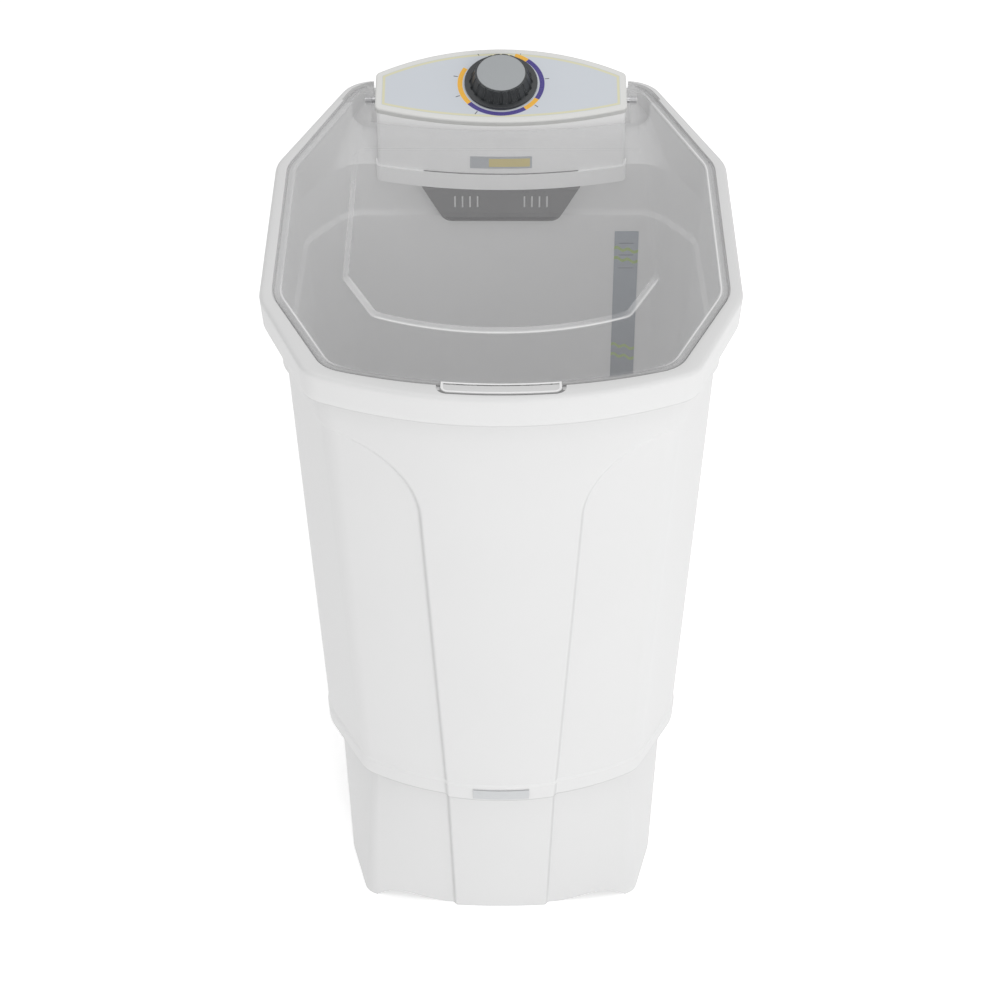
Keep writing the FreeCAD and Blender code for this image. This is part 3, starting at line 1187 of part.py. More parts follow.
def tie_bolts():
    bolts = []
    for place in tie_places():
        low = at(place, MOTOR_FOOT_Z + MOTOR_SHELL)
        bolts.append(rod(low, at(place, MOTOR_TOP_Z - MOTOR_SHELL), SCREW_RADIUS))
    return Part.makeCompound(bolts)


def motor_stator():
    core = ring(at(MOTOR, STATOR_FOOT_Z), at(MOTOR, STATOR_TOP_Z), MOTOR_RADIUS, ROTOR_RADIUS + ROTOR_GAP)
    terminal = block(at(MOTOR, STATOR_FOOT_Z) + V(-MOTOR_RADIUS - TERMINAL_REACH, -TERMINAL_WIDTH / 2, 0),
                     at(MOTOR, STATOR_TOP_Z) + V(-MOTOR_RADIUS + TERMINAL_REACH, TERMINAL_WIDTH / 2, 0))
    holes = [rod(at(p, 0), at(p, BIG), SCREW_RADIUS) for p in tie_places()]
    return without(fused([core, terminal]), holes)


def motor_rotor():
    return ring(at(MOTOR, STATOR_FOOT_Z), at(MOTOR, STATOR_TOP_Z), ROTOR_RADIUS, MOTOR_SHAFT_RADIUS)


def motor_shaft():
    return rod(at(MOTOR, PULLEY_FOOT_Z), at(MOTOR, MOTOR_TOP_Z - END_PLAY), MOTOR_SHAFT_RADIUS)


def motor_bushes():
    bore = MOTOR_SHAFT_RADIUS + RUNNING_CLEARANCE
    low = ring(at(MOTOR, MOTOR_FOOT_Z), at(MOTOR, MOTOR_FOOT_Z + MOTOR_BUSH_LENGTH), MOTOR_BUSH_RADIUS, bore)
    high = ring(at(MOTOR, MOTOR_TOP_Z - MOTOR_BUSH_LENGTH), at(MOTOR, MOTOR_TOP_Z), MOTOR_BUSH_RADIUS, bore)
    return Part.makeCompound([low, high])


def motor_bracket():
    half = V(BRACKET_HALF_WIDTH, BRACKET_HALF_LENGTH, 0)
    plate = block(at(MOTOR, MOTOR_TOP_Z) - half, at(MOTOR, BRACKET_TOP_Z) + half)
    plate = plate.makeFillet(BOSS_RADIUS, upright_edges(plate))
    return without(plate, [rod(at(p, 0), at(p, BIG), SCREW_RADIUS) for p in bracket_bolt_places()])


def bracket_bolts():
    return Part.makeCompound([screw(at(p, MOTOR_TOP_Z), UP) for p in bracket_bolt_places()])


CAPACITOR = V(CAPACITOR_X, behind(CAPACITOR_DEPTH), FLOOR_UNDER_Z - CLIP_WALL - CAPACITOR_RADIUS)


def capacitor():
    half = BACKWARD * (CAPACITOR_LENGTH / 2)
    can = rod(CAPACITOR - half, CAPACITOR + half, CAPACITOR_RADIUS)
    return can.makeFillet(CLIP_WALL, [e for e in can.Edges if e.Closed])


def capacitor_clip():
    half = BACKWARD * (CLIP_LENGTH / 2)
    band = rod(CAPACITOR - half, CAPACITOR + half, CAPACITOR_RADIUS + CLIP_WALL)
    foot = V(CAPACITOR_RADIUS + CLIP_WALL, CLIP_LENGTH / 2, 0)
    top = at(CAPACITOR, FLOOR_UNDER_Z)
    plate = block(top - foot - UP * CLIP_WALL, top + foot)
    mouth = block(CAPACITOR - V(CAPACITOR_RADIUS / 2, BIG, BIG), CAPACITOR + V(CAPACITOR_RADIUS / 2, BIG, 0))
    return without(fused([band, plate]), [rod(CAPACITOR - half, CAPACITOR + half, CAPACITOR_RADIUS), mouth])


def drain_grate():
    flange = rod(at(DRAIN, FLOOR_Z), at(DRAIN, FLOOR_Z + GRATE_THICKNESS), DRAIN_RADIUS + GRATE_FLANGE)
    sleeve = ring(at(DRAIN, FLOOR_UNDER_Z), at(DRAIN, FLOOR_Z), DRAIN_RADIUS, DRAIN_RADIUS - GRATE_THICKNESS)
    slot = V(SLOT_WIDTH, 0, 0)
    pitch = 2 * DRAIN_RADIUS / (GRATE_SLOTS + 1)
    slots = []
    for number in range(1, GRATE_SLOTS + 1):
        x = pitch * number - DRAIN_RADIUS
        reach = V(0, math.sqrt((DRAIN_RADIUS - GRATE_THICKNESS) ** 2 - x ** 2) - SLOT_WIDTH, 0)
        centre = DRAIN + V(x, 0, 0)
        slots.append(block(at(centre, FLOOR_Z - OVERCUT) - slot - reach, at(centre, RIM_Z) + slot + reach))
    return without(fused([flange, sleeve]), slots)


def drain_gasket():
    return ring(at(DRAIN, FLOOR_UNDER_Z - GASKET_THICKNESS), at(DRAIN, FLOOR_UNDER_Z), DRAIN_FLANGE_RADIUS,
                DRAIN_RADIUS - GRATE_THICKNESS)


def drain_elbow():
    top = at(DRAIN, FLOOR_UNDER_Z - GASKET_THICKNESS)
    bend = at(DRAIN, ELBOW_Z)
    wall_end = V(DRAIN_X, SKIRT_REAR_Y, ELBOW_Z)
    spigot_end = wall_end + BACKWARD * SPIGOT_LENGTH
    body = [rod(top - UP * DRAIN_FLANGE, top, DRAIN_FLANGE_RADIUS), rod(bend, top, ELBOW_RADIUS),
            Part.makeSphere(ELBOW_RADIUS, bend), rod(bend, wall_end, ELBOW_RADIUS),
            rod(wall_end, spigot_end, SPIGOT_RADIUS)]
    bores = [rod(bend, top, ELBOW_BORE), Part.makeSphere(ELBOW_BORE, bend),
             rod(bend, spigot_end, ELBOW_BORE)]
    return fused(body).cut(fused(bores))


def harness_pass():
    """Where the wiring passes straight down through the console's base."""
    return V(HARNESS_X, behind(CONSOLE_END_REAR - HARNESS_BACK), 0)


def harness_points():
    """Route of the wiring from the timer, down the rear channel and in to the motor's terminal block."""
    case_foot = BEZEL_THICKNESS + TIMER_DEPTH
    into = V(0, math.sin(TILT), -math.cos(TILT))
    panel = V(0, behind(CONSOLE_FRONT) + KNOB_UP * math.cos(TILT), BEZEL_FRONT_Z + KNOB_UP * math.sin(TILT))
    start = panel + into * case_foot - ACROSS * (TIMER_WIDTH / 4)
    place = harness_pass()
    run_y = CHANNEL_DEPTH / 2
    foot_y = behind(BODY_FOOT.rear) + run_y
    return [start, start + into * HARNESS_DROP, at(place, CONSOLE_FOOT_Z + HARNESS_PASS),
            at(place, BASE_SEAT_Z - HARNESS_PASS),
            V(HARNESS_X, behind(body_plan(CHANNEL_TOP_Z).rear) + run_y, CHANNEL_TOP_Z + HARNESS_LEAD),
            V(HARNESS_X, foot_y, BODY_FOOT_Z + HARNESS_DROP), V(HARNESS_X, foot_y, HARNESS_ENTRY_Z),
            V(HARNESS_X, MOTOR.y, HARNESS_ENTRY_Z),
            V(-MOTOR_RADIUS - TERMINAL_REACH, MOTOR.y, HARNESS_ENTRY_Z)]


BEND_SHARE = 0.45
LARGEST_BEND = 160.0


def tube_along(points, radius):
    """Round tube along straight runs joined by tangent arcs as large as the runs allow."""
    edges = []
    start = points[0]
    for before, corner, after in zip(points, points[1:], points[2:]):
        shorter = min((corner - before).Length, (after - corner).Length)
        turn = (corner - before).getAngle(after - corner)
        bend = min(BEND_SHARE * shorter / math.tan(turn / 2), LARGEST_BEND)
        first, middle, last = rounded(corner, before, after, bend)
        edges += [Part.makeLine(start, first), arc((first, middle, last))]
        start = last
    edges.append(Part.makeLine(start, points[-1]))
    path = Part.Wire(edges)
    section = Part.Wire([Part.makeCircle(radius, points[0], points[1] - points[0])])
    return path.makePipeShell([section], True, False)


def wiring_harness():
    return tube_along(harness_points(), HARNESS_RADIUS)


def cable_channel():
    def section(z, inset, sink):
        wall = behind(body_plan(z).rear)
        half = CHANNEL_WIDTH / 2 - inset
        return polygon([V(HARNESS_X - half, wall - sink, z), V(HARNESS_X + half, wall - sink, z),
                        V(HARNESS_X + half, wall + CHANNEL_DEPTH - inset, z),
                        V(HARNESS_X - half, wall + CHANNEL_DEPTH - inset, z)])

    outer = loft(section(CHANNEL_FOOT_Z, 0.0, 0.0), section(CHANNEL_TOP_Z, 0.0, 0.0))
    inner = loft(section(CHANNEL_FOOT_Z, CHANNEL_WALL, OVERCUT),
                 section(CHANNEL_TOP_Z, CHANNEL_WALL, OVERCUT))
    return outer.cut(inner)


def harness_grommet():
    outside = V(HARNESS_X, SKIRT_REAR_Y + GROMMET_WIDTH / 4, HARNESS_ENTRY_Z)
    inside = outside - BACKWARD * GROMMET_WIDTH
    return ring(inside, outside, GROMMET_RADIUS, HARNESS_RADIUS)


def cord_gland():
    outside = V(GLAND_X, SKIRT_REAR_Y, GLAND_Z)
    sleeve = rod(outside - BACKWARD * GLAND_LENGTH / 2, outside, GLAND_RADIUS)
    collar = rod(outside, outside + BACKWARD * GLAND_LENGTH / 2, GLAND_RADIUS + GRATE_FLANGE / 2)
    bore = rod(outside - BACKWARD * GLAND_LENGTH, outside + BACKWARD * GLAND_LENGTH, GLAND_BORE)
    return fused([sleeve, collar]).cut(bore)


PIECES = {
    "tub": tub,
    "base_skirt": base_skirt,
    "foot_pads": foot_pads,
    "base_screws": base_screws,
    "lid": lid,
    "hinge_pins": hinge_pins,
    "console_housing": console_housing,
    "console_base": console_base,
    "console_screws": console_screws,
    "console_bezel": console_bezel,
    "console_overlay": console_overlay,
    "console_label": console_label,
    "timer_body": timer_body,
    "timer_shaft": timer_shaft,
    "timer_knob": timer_knob,
    "knob_cap": knob_cap,
    "filter_frame": filter_frame,
    "filter_net": filter_net,
    "level_strip": level_strip,
    "badge_plate": badge_plate,
    "bearing_housing": bearing_housing,
    "upper_bush": lambda: bush(PAD_UNDER_Z - BUSH_LENGTH),
    "lower_bush": lambda: bush(HOUSING_FOOT_Z),
    "shaft_seal": shaft_seal,
    "housing_screws": housing_screws,
    "impeller": impeller,
    "impeller_bolt": impeller_bolt,
    "drive_shaft": drive_shaft,
    "thrust_washer": thrust_washer,
    "driven_pulley": driven_pulley,
    "pulley_nut": pulley_nut,
    "motor_pulley": motor_pulley,
    "drive_belt": drive_belt,
    "motor_upper_bell": lambda: motor_bell(MOTOR_TOP_Z, STATOR_TOP_Z),
    "motor_lower_bell": lambda: motor_bell(MOTOR_FOOT_Z, STATOR_FOOT_Z),
    "motor_stator": motor_stator,
    "motor_tie_bolts": tie_bolts,
    "motor_rotor": motor_rotor,
    "motor_shaft": motor_shaft,
    "motor_bushes": motor_bushes,
    "motor_bracket": motor_bracket,
    "bracket_bolts": bracket_bolts,
    "capacitor": capacitor,
    "capacitor_clip": capacitor_clip,
    "drain_grate": drain_grate,
    "drain_gasket": drain_gasket,
    "drain_elbow": drain_elbow,
    "wiring_harness": wiring_harness,
    "cable_channel": cable_channel,
    "harness_grommet": harness_grommet,
    "cord_gland": cord_gland,
}

os.makedirs("parts", exist_ok=True)
for piece_name, make in PIECES.items():
    save(piece_name, make())
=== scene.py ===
# %% [markdown]
# # A top-loading washing machine, dressed in Blender
# The engineering model arrives as a fixed frame: every piece is already in its place, in metres, with +Z up
# and the front towards -Y. Nothing in it is moved. The steps below put a camera and soft light around it,
# remake the large moulded shells with softer edges than the engineering model has, and give every piece a
# finish. Each step says what the piece is on the real machine and why it is made this way.

# %% Load the frame
import json
import math

import bpy
import numpy as np
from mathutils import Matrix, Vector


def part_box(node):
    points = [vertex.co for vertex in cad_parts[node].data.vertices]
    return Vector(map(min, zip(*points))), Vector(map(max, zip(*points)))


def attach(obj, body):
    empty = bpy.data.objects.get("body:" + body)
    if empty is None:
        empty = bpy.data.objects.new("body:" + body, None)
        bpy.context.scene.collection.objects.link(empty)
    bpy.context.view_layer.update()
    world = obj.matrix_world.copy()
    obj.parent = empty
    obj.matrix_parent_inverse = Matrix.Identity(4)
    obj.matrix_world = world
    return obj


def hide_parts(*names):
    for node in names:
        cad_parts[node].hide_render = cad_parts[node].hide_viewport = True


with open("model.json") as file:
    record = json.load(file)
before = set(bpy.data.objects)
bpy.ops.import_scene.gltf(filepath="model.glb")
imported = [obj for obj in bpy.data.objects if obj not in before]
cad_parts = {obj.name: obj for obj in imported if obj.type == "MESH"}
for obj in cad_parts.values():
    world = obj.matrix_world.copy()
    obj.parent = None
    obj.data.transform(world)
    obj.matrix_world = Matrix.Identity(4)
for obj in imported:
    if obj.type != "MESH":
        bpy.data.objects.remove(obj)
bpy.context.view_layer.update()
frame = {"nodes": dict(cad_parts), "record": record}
nodes = frame["nodes"]

# %% [markdown]
# ## Camera
# The picture was taken from well above the front, looking 40 degrees down through a long lens, so upright
# edges hardly converge. The same view comes from a lens of 86.4 mm on a 36 mm sensor about 3.1 m away.

# %% Camera
def in_scene(name, data):
    """A new object in the scene for this camera, lamp or mesh."""
    piece = bpy.data.objects.new(name, data)
    bpy.context.scene.collection.objects.link(piece)
    return piece


view = bpy.data.cameras.new("studio_camera")
view.lens = 86.4
view.sensor_width = 36.0
camera = in_scene("studio_camera", view)
camera.location = (-0.0013, -2.3744, 2.4728)
camera.rotation_euler = (math.radians(50.0), 0.0, 0.0)
bpy.context.scene.camera = camera
print("camera", tuple(round(v, 3) for v in camera.location))

# %% [markdown]
# ## Shader arithmetic
# A finish is a small sum: a base colour, a little unevenness, a grain. Written out node by node such sums
# are hard to read, so one class wraps a node's output and lets plain expressions add the Math nodes. Colours
# go through Mix, since a Math node would turn a colour grey.

# %% The socket class
class Tap:
    """One output of a shader node. Sums and products of taps add the nodes that work them out."""

    def __init__(self, tree, socket):
        self.tree = tree
        self.socket = socket

    def add(self, kind, settings=None, sockets=None, out=0):
        """A new node of this kind: settings are set first, then each socket is linked or given its value."""
        node = self.tree.nodes.new(kind)
        for name, value in (settings or {}).items():
            setattr(node, name, value)
        for name, value in (sockets or {}).items():
            if isinstance(value, Tap):
                self.tree.links.new(value.socket, node.inputs[name])
            else:
                node.inputs[name].default_value = value
        return Tap(self.tree, node.outputs[out])

    def _sum(self, operation, first, second=0.0):
        return self.add("ShaderNodeMath", {"operation": operation}, {0: first, 1: second})

    def __add__(self, other):
        return self._sum("ADD", self, other)

    def __radd__(self, other):
        return self._sum("ADD", other, self)

    def __sub__(self, other):
        return self._sum("SUBTRACT", self, other)

    def __rsub__(self, other):
        return self._sum("SUBTRACT", other, self)

    def __mul__(self, other):
        return self._sum("MULTIPLY", self, other)

    def __rmul__(self, other):
        return self._sum("MULTIPLY", other, self)

    def __pow__(self, other):
        return self._sum("POWER", self, other)

    def __abs__(self):
        return self._sum("ABSOLUTE", self)

    def least(self, other):
        return self._sum("MINIMUM", self, other)

    def most(self, other):
        return self._sum("MAXIMUM", self, other)

    def sine(self):
        return self._sum("SINE", self)

    def bearing(self, ahead):
        """Angle of the vector (this, ahead) from straight ahead in radians, positive to the right."""
        return self._sum("ARCTAN2", self, ahead)

    def ease(self, low, high):
        """0 below low, 1 above high, and a smooth step between."""
        return self.add("ShaderNodeMapRange", {"interpolation_type": "SMOOTHSTEP"},
                        {"Value": self, "From Min": low, "From Max": high})

    def tint(self, low, high):
        """Colour low where this is 0 and colour high where it is 1."""
        sockets = {0: self}
        for index, colour in ((6, low), (7, high)):
            sockets[index] = colour if isinstance(colour, Tap) else (*colour, 1.0)
        return self.add("ShaderNodeMix", {"data_type": "RGBA"}, sockets, out=2)

    def split(self):
        """The three parts of a vector."""
        parts = self.add("ShaderNodeSeparateXYZ", None, {0: self}).socket.node.outputs
        return [Tap(self.tree, socket) for socket in parts]

    def moved(self, place, turn=(0.0, 0.0, 0.0), size=(1.0, 1.0, 1.0)):
        """This vector seen from another place, turn and size."""
        return self.add("ShaderNodeMapping", {"vector_type": "TEXTURE"},
                        {"Vector": self, "Location": place, "Rotation": turn, "Scale": size})

    def noise(self, scale, detail=2.0):
        """Soft noise from 0 to 1 whose features are about 1/scale metres wide."""
        return self.add("ShaderNodeTexNoise", None, {"Vector": self, "Scale": scale, "Detail": detail})


def finish(name, **fixed):
    """A new material with one Principled shader: fixed values go straight onto its sockets.
    Gives the material, the shader node and a tap on Object coordinates."""
    material = bpy.data.materials.new(name)
    material.use_nodes = True
    tree = material.node_tree
    shader = tree.nodes["Principled BSDF"]
    for socket, value in fixed.items():
        shader.inputs[socket.replace("_", " ")].default_value = value
    place = Tap(tree, tree.nodes.new("ShaderNodeTexCoord").outputs["Object"])
    return material, shader, place


def feed(tap, shader, socket):
    """Links a tap to one of the shader's sockets."""
    tap.tree.links.new(tap.socket, shader.inputs[socket])


def dress(shader, colour, roughness, relief, depth):
    """Feeds a finish its colour, its roughness and a relief from 0 to 1 that stands for depth metres."""
    bump = relief.add("ShaderNodeBump", None, {"Strength": 1.0, "Distance": depth, "Height": relief})
    for socket, tap in (("Base Color", colour), ("Roughness", roughness), ("Normal", bump)):
        feed(tap, shader, socket)


print("socket class ready")

# %% [markdown]
# ## Studio
# The machine stands on a plain white floor. A wide soft light overhead, a large panel at the front right, a
# weak one at the right and an even pale surround give the flat, nearly shadowless light of a catalogue
# picture, with the right side a little brighter than the left.

# %% Floor, surround and lights
WHITE = (1.0, 1.0, 1.0, 1.0)
MACHINE_MIDDLE = (0.0, 0.0, 0.5)
FLOOR_HALF = 12.0
surround = bpy.data.worlds.new("pale_surround")
surround.use_nodes = True
sky = surround.node_tree.nodes["Background"].inputs
sky["Color"].default_value = WHITE
sky["Strength"].default_value = 0.64
bpy.context.scene.world = surround
bpy.context.scene.view_settings.view_transform = "Standard"
corners = [(x * FLOOR_HALF, y * FLOOR_HALF, 0.0) for x, y in ((-1, -1), (1, -1), (1, 1), (-1, 1))]
mesh = bpy.data.meshes.new("studio_floor")
mesh.from_pydata(corners, [], [(0, 1, 2, 3)])
floor = in_scene("studio_floor", mesh)
paint, shader, place = finish("floor_paint", Roughness=0.9, Emission_Color=WHITE, Emission_Strength=0.35)
feed(place.noise(3.0).tint((0.97, 0.97, 0.97), (0.99, 0.99, 0.99)), shader, "Base Color")
floor.data.materials.append(paint)


def soft_light(name, place, target, width, height, watts):
    """A rectangular lamp at place whose face points at target."""
    lamp = bpy.data.lights.new(name, "AREA")
    lamp.shape = "RECTANGLE"
    lamp.size = width
    lamp.size_y = height
    lamp.energy = watts
    piece = in_scene(name, lamp)
    piece.location = place
    aim = np.array(target) - np.array(place)
    flat = math.hypot(aim[0], aim[1])
    piece.rotation_euler = (math.atan2(flat, -aim[2]), 0.0, math.atan2(-aim[0], aim[1]))


soft_light("overhead", (0.2, 0.1, 3.6), MACHINE_MIDDLE, 3.2, 3.2, 28.0)
soft_light("front_right", (1.3, -3.2, 1.9), MACHINE_MIDDLE, 2.2, 2.0, 34.0)
soft_light("side_right", (3.2, -0.8, 1.4), (0.0, 0.0, 0.4), 2.0, 2.0, 4.0)

# %% [markdown]
# ## The outline that the shells share
# Seen from above, the tub, the skirt and the lid all have the same kind of outline: a bowed front, a slanting
# corner each side, straight sides, slanting rear corners and a straight back, with every corner rounded. Two
# outlines with the same number of points can be joined level by level into a wall. It is worked out for all
# levels at once, from eleven sizes per level, so the columns of the wall run along the real edges. The sizes,
# in mm, are the half width, the front, the bow's radius, the width and length of the front corner and of the
# rear corner, the rear, and the radii of the front, side and rear corners.

# %% Outline
MM = 0.001
TAB_FRONT = 12.5
FRONT_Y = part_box("lid")[0].y - TAB_FRONT * MM
MIRROR = np.array([-1.0, 1.0])
LEAST_ROUND = 2.0
CREASE_ROOM = 5
BOW_ROOM = 20
BOW_STEPS = (12, 10, 46)
TURN_STEPS = 10
RUN_STEPS = 10
RIM = np.array([275, 0, 486, 59.5, 140, 84, 200, 674, 42, 70, 45.0])
BODY_TOP = np.array([251, 24, 462, 52, 126, 48, 80, 588, 42, 70, 45.0])
BODY_FOOT = np.array([225, 61, 330, 52, 94, 48, 80, 567, 42, 70, 45.0])
FOOT = np.array([202, 74, 900, 24, 88, 24, 88, 553, 24, 70, 24.0])
LID = np.array([259, 24.5, 560, 65, 137, 78, 197, 667, 42, 70, 45.0])
COLLAR = np.array([256, 19, 467, 52, 126, 78, 197, 661.5, 42, 70, 45.0])
RIM_Z = 905.0
LID_TOP_Z = 904.0
SEAT_Z = 900.7
LIP_Z = 865.0
HOPPER_Z = 832.0
BODY_FOOT_Z = 220.0
WALL = 3.5


def straight(start, end, count):
    """Points of every level from start to end, the end left out: start + (end - start) * step / count."""
    return start[:, None] + (end - start)[:, None] * (np.arange(count) / count)[:, None]


def outline(plans, insets, crease=None):
    """Rounded outline of every level, moved in by its inset: (levels, columns, 2), in mm.
    The bow is a circle arc through the front; each straight run is moved in along its normal and crosses its
    neighbours; each corner is a circle tangent to both sides. Half is worked out and mirrored in x."""
    plans = np.atleast_2d(plans).astype(float)
    half, front, bow, corner_wide, corner_long, rear_wide, rear_long, rear = plans.T[:8]
    r_front, r_side, r_rear = plans.T[8:]
    inset = np.broadcast_to(np.asarray(insets, float), half.shape)
    bow_y = front + bow
    start_x = half - corner_wide
    start_y = bow_y - np.sqrt(bow ** 2 - start_x ** 2)
    front_way = np.stack([corner_wide, corner_long]) / np.hypot(corner_wide, corner_long)
    rear_way = np.stack([-rear_wide, rear_long]) / np.hypot(rear_wide, rear_long)
    front_normal = np.stack([-front_way[1], front_way[0]])
    rear_normal = np.stack([-rear_way[1], rear_way[0]])
    front_point = np.stack([start_x, start_y]) + front_normal * inset
    rear_point = np.stack([half, rear - rear_long]) + rear_normal * inset
    side_x = half - inset
    side_front = front_point + front_way * ((side_x - front_point[0]) / front_way[0])
    side_rear = rear_point + rear_way * ((side_x - rear_point[0]) / rear_way[0])
    rear_corner = rear_point + rear_way * ((rear - inset - rear_point[1]) / rear_way[1])

    radius = np.maximum(r_front - inset, LEAST_ROUND)
    small_bow = bow - inset
    to_line = front_point + front_normal * radius - np.stack([0 * bow_y, bow_y])
    along = (to_line * front_way).sum(0)
    reach = np.sqrt(along ** 2 - (to_line ** 2).sum(0) + (small_bow - radius) ** 2)
    from_bow = to_line - front_way * (along + reach)
    bow_angle = np.arctan2(from_bow[1], from_bow[0])
    bow_end = small_bow * np.cos(bow_angle)
    middle = 0.5 * bow_end if crease is None else np.minimum(crease, bow_end - BOW_ROOM)
    marks = np.stack([0 * middle, middle - CREASE_ROOM, middle + CREASE_ROOM, bow_end])[..., None]
    runs = [straight(low, high, count) for low, high, count in zip(marks, marks[1:], BOW_STEPS)]
    x = np.concatenate(runs, axis=1)[..., 0]
    parts = [np.stack([x, bow_y[:, None] - np.sqrt(small_bow[:, None] ** 2 - x ** 2)], 2)]

    def tip(centre, size, angle):
        return np.stack([centre[0] + size * np.cos(angle), centre[1] + size * np.sin(angle)], -1)

    def bend(centre, size, start, end):
        angle = start + (end - start) * (np.arange(TURN_STEPS) / TURN_STEPS)[:, None]
        return tip(centre, size, angle).swapaxes(0, 1)

    zero = 0 * half
    front_angle = np.arctan2(-front_normal[1], -front_normal[0])
    rear_angle = np.arctan2(-rear_normal[1], -rear_normal[0])
    corners = [(from_bow + np.stack([zero, bow_y]), radius, bow_angle, front_angle)]
    side_radius = np.maximum(r_side - inset, LEAST_ROUND)
    rear_radius = np.maximum(r_rear - inset, LEAST_ROUND)
    rearward = np.stack([zero, zero + 1])
    for corner, way, normal, size, start, end in (
            (side_front, front_way, front_normal, side_radius, front_angle, zero),
            (side_rear, rearward, np.stack([zero - 1, zero]), side_radius, zero, rear_angle),
            (rear_corner, rear_way, rear_normal, rear_radius, rear_angle, zero + math.pi / 2)):
        centre = corner - way * (size * np.tan((end - start) / 2)) + normal * size
        corners.append((centre, size, start, end))
    back = np.stack([zero, rear - inset], 1)
    ends = [tip(*following[:3]) for following in corners[1:]] + [back]
    for (centre, size, start, end), run_end, steps in zip(corners, ends, 3 * [RUN_STEPS] + [2 * RUN_STEPS]):
        parts.append(bend(centre, size, start, end))
        parts.append(straight(tip(centre, size, end), run_end, steps))
    right = np.concatenate(parts, axis=1)
    left = right[:, :0:-1] * MIRROR
    return np.concatenate([right, back[:, None], left], axis=1)


def lift(xy, z):
    """Outline points with their heights: mm in, metres of the machine's frame out."""
    z = np.broadcast_to(np.reshape(z, (-1, 1)) if np.ndim(z) == 1 else z, xy.shape[:2])
    return np.stack([xy[..., 0] * MM, xy[..., 1] * MM + FRONT_Y, z * MM], 2)


print("outline columns", outline(RIM, 0.0).shape[1], "front y", round(FRONT_Y, 5))

# %% [markdown]
# ## From a grid to a mesh
# Every shell below is a grid of points: rows run along a profile, columns run round the machine. The same
# helper joins neighbours with quads. A profile that comes back to its start closes the shell, as the real
# wall has an inside and an outside.

# %% Grid to mesh
SHARP = math.radians(32.0)


def spanned(corners):
    """Six times the volume between the origin and these faces, each a fan from its first corner."""
    return (corners[..., :1, :] * np.cross(corners[..., 1:-1, :], corners[..., 2:, :])).sum()


def shell(name, grid, capped=False, weights=None):
    """Object from a (rows, columns, 3) grid: quad (i, j) joins rows i, i + 1 and columns j, j + 1. Columns go
    round, and rows do too unless capped: then flat faces close the first and last rows. All faces are turned
    if the volume inside them comes out negative. Weights are kept as a value per point."""
    rows, columns = grid.shape[:2]
    i = np.arange(rows - 1 if capped else rows)[:, None]
    ring = np.arange(columns)
    j = ring[None, :]
    i2 = (i + 1) % rows
    j2 = (j + 1) % columns
    quads = np.stack([i * columns + j, i * columns + j2, i2 * columns + j2, i2 * columns + j], 2)
    quads = quads.reshape(-1, 4)
    caps = np.stack([ring[::-1], (rows - 1) * columns + ring]) if capped else np.zeros((0, columns), int)
    points = grid.reshape(-1, 3)
    if spanned(points[quads]) + spanned(points[caps]) < 0:
        quads = quads[:, ::-1]
        caps = caps[:, ::-1]
    mesh = bpy.data.meshes.new(name)
    mesh.from_pydata(points, [], [*quads.tolist(), *caps.tolist()])
    mesh.validate()
    if weights is not None:
        values = mesh.attributes.new("painted_light", "FLOAT", "POINT").data
        values.foreach_set("value", weights.reshape(-1).astype(np.float32))
    mesh.shade_smooth()
    mesh.set_sharp_from_angle(angle=SHARP)
    return in_scene(name, mesh)


def soft_step(value, low, high):
    """0 below low, 1 above high, 3t^2 - 2t^3 between."""
    t = np.clip((value - low) / (high - low), 0.0, 1.0)
    return t * t * (3 - 2 * t)


print("grid helper ready")

# %% [markdown]
# ## Tub
# The tub is one large white moulding: a tapered body whose front panel and upper collar stand 5 mm proud of
# recessed side panels, a rim with a turned-down lip, and a hopper-shaped mouth with a step for the lid. It
# could be joined from several solids, but the creases of a real moulding are soft, so the whole wall is one
# profile carried round the outline, and the raised areas come from sliding each column outwards by a smooth
# step across the crease.

# %% Raised areas
RAISE = 5.0
CREASE = 3.2
CREASE_SHADE = 0.42
PANEL_FOOT_HALF = 68.5
PANEL_TOP_HALF = 92.0
PANEL_REAR = 290.0
FLARE_X = 202.0
FLARE_Z = 702.0
FLARE_RADIUS = 110.0
COLLAR_Z = 826.0
COLLAR_TILT = math.radians(7.0)
NOT_RAISED = -50.0


def panel_half(z, low, foot_half, top, top_half):
    """Half width of the raised front panel: a straight lean between two heights."""
    return foot_half + (top_half - foot_half) * np.clip((z - low) / (top - low), 0.0, 1.0)


def body_panel_half(z):
    """Half width of the tub's raised front panel, below its flare."""
    return panel_half(z, BODY_FOOT_Z, PANEL_FOOT_HALF, FLARE_Z, PANEL_TOP_HALF)


def raised_share(xy, z, inset):
    """How far each point has risen, 0 to 1: inside the leaning, flaring front panel or above the collar line.
    The flare's distance is measured from its circle, the collar's from its sloping plane."""
    x = np.abs(xy[..., 0])
    depth = xy[..., 1]
    lean = body_panel_half(z) - inset - x
    flare = np.hypot(FLARE_X - x, z - FLARE_Z) - FLARE_RADIUS - inset
    over = z - (FLARE_Z + FLARE_RADIUS) - inset
    panel = np.where(z < FLARE_Z, lean, np.where(x < FLARE_X, flare, over))
    panel = np.where(depth < PANEL_REAR, panel, NOT_RAISED)
    slope = (depth - BODY_TOP[1]) * math.tan(COLLAR_TILT)
    collar = (z - COLLAR_Z - inset + slope) * math.cos(COLLAR_TILT)
    return soft_step(np.maximum(panel, collar), -CREASE, CREASE)


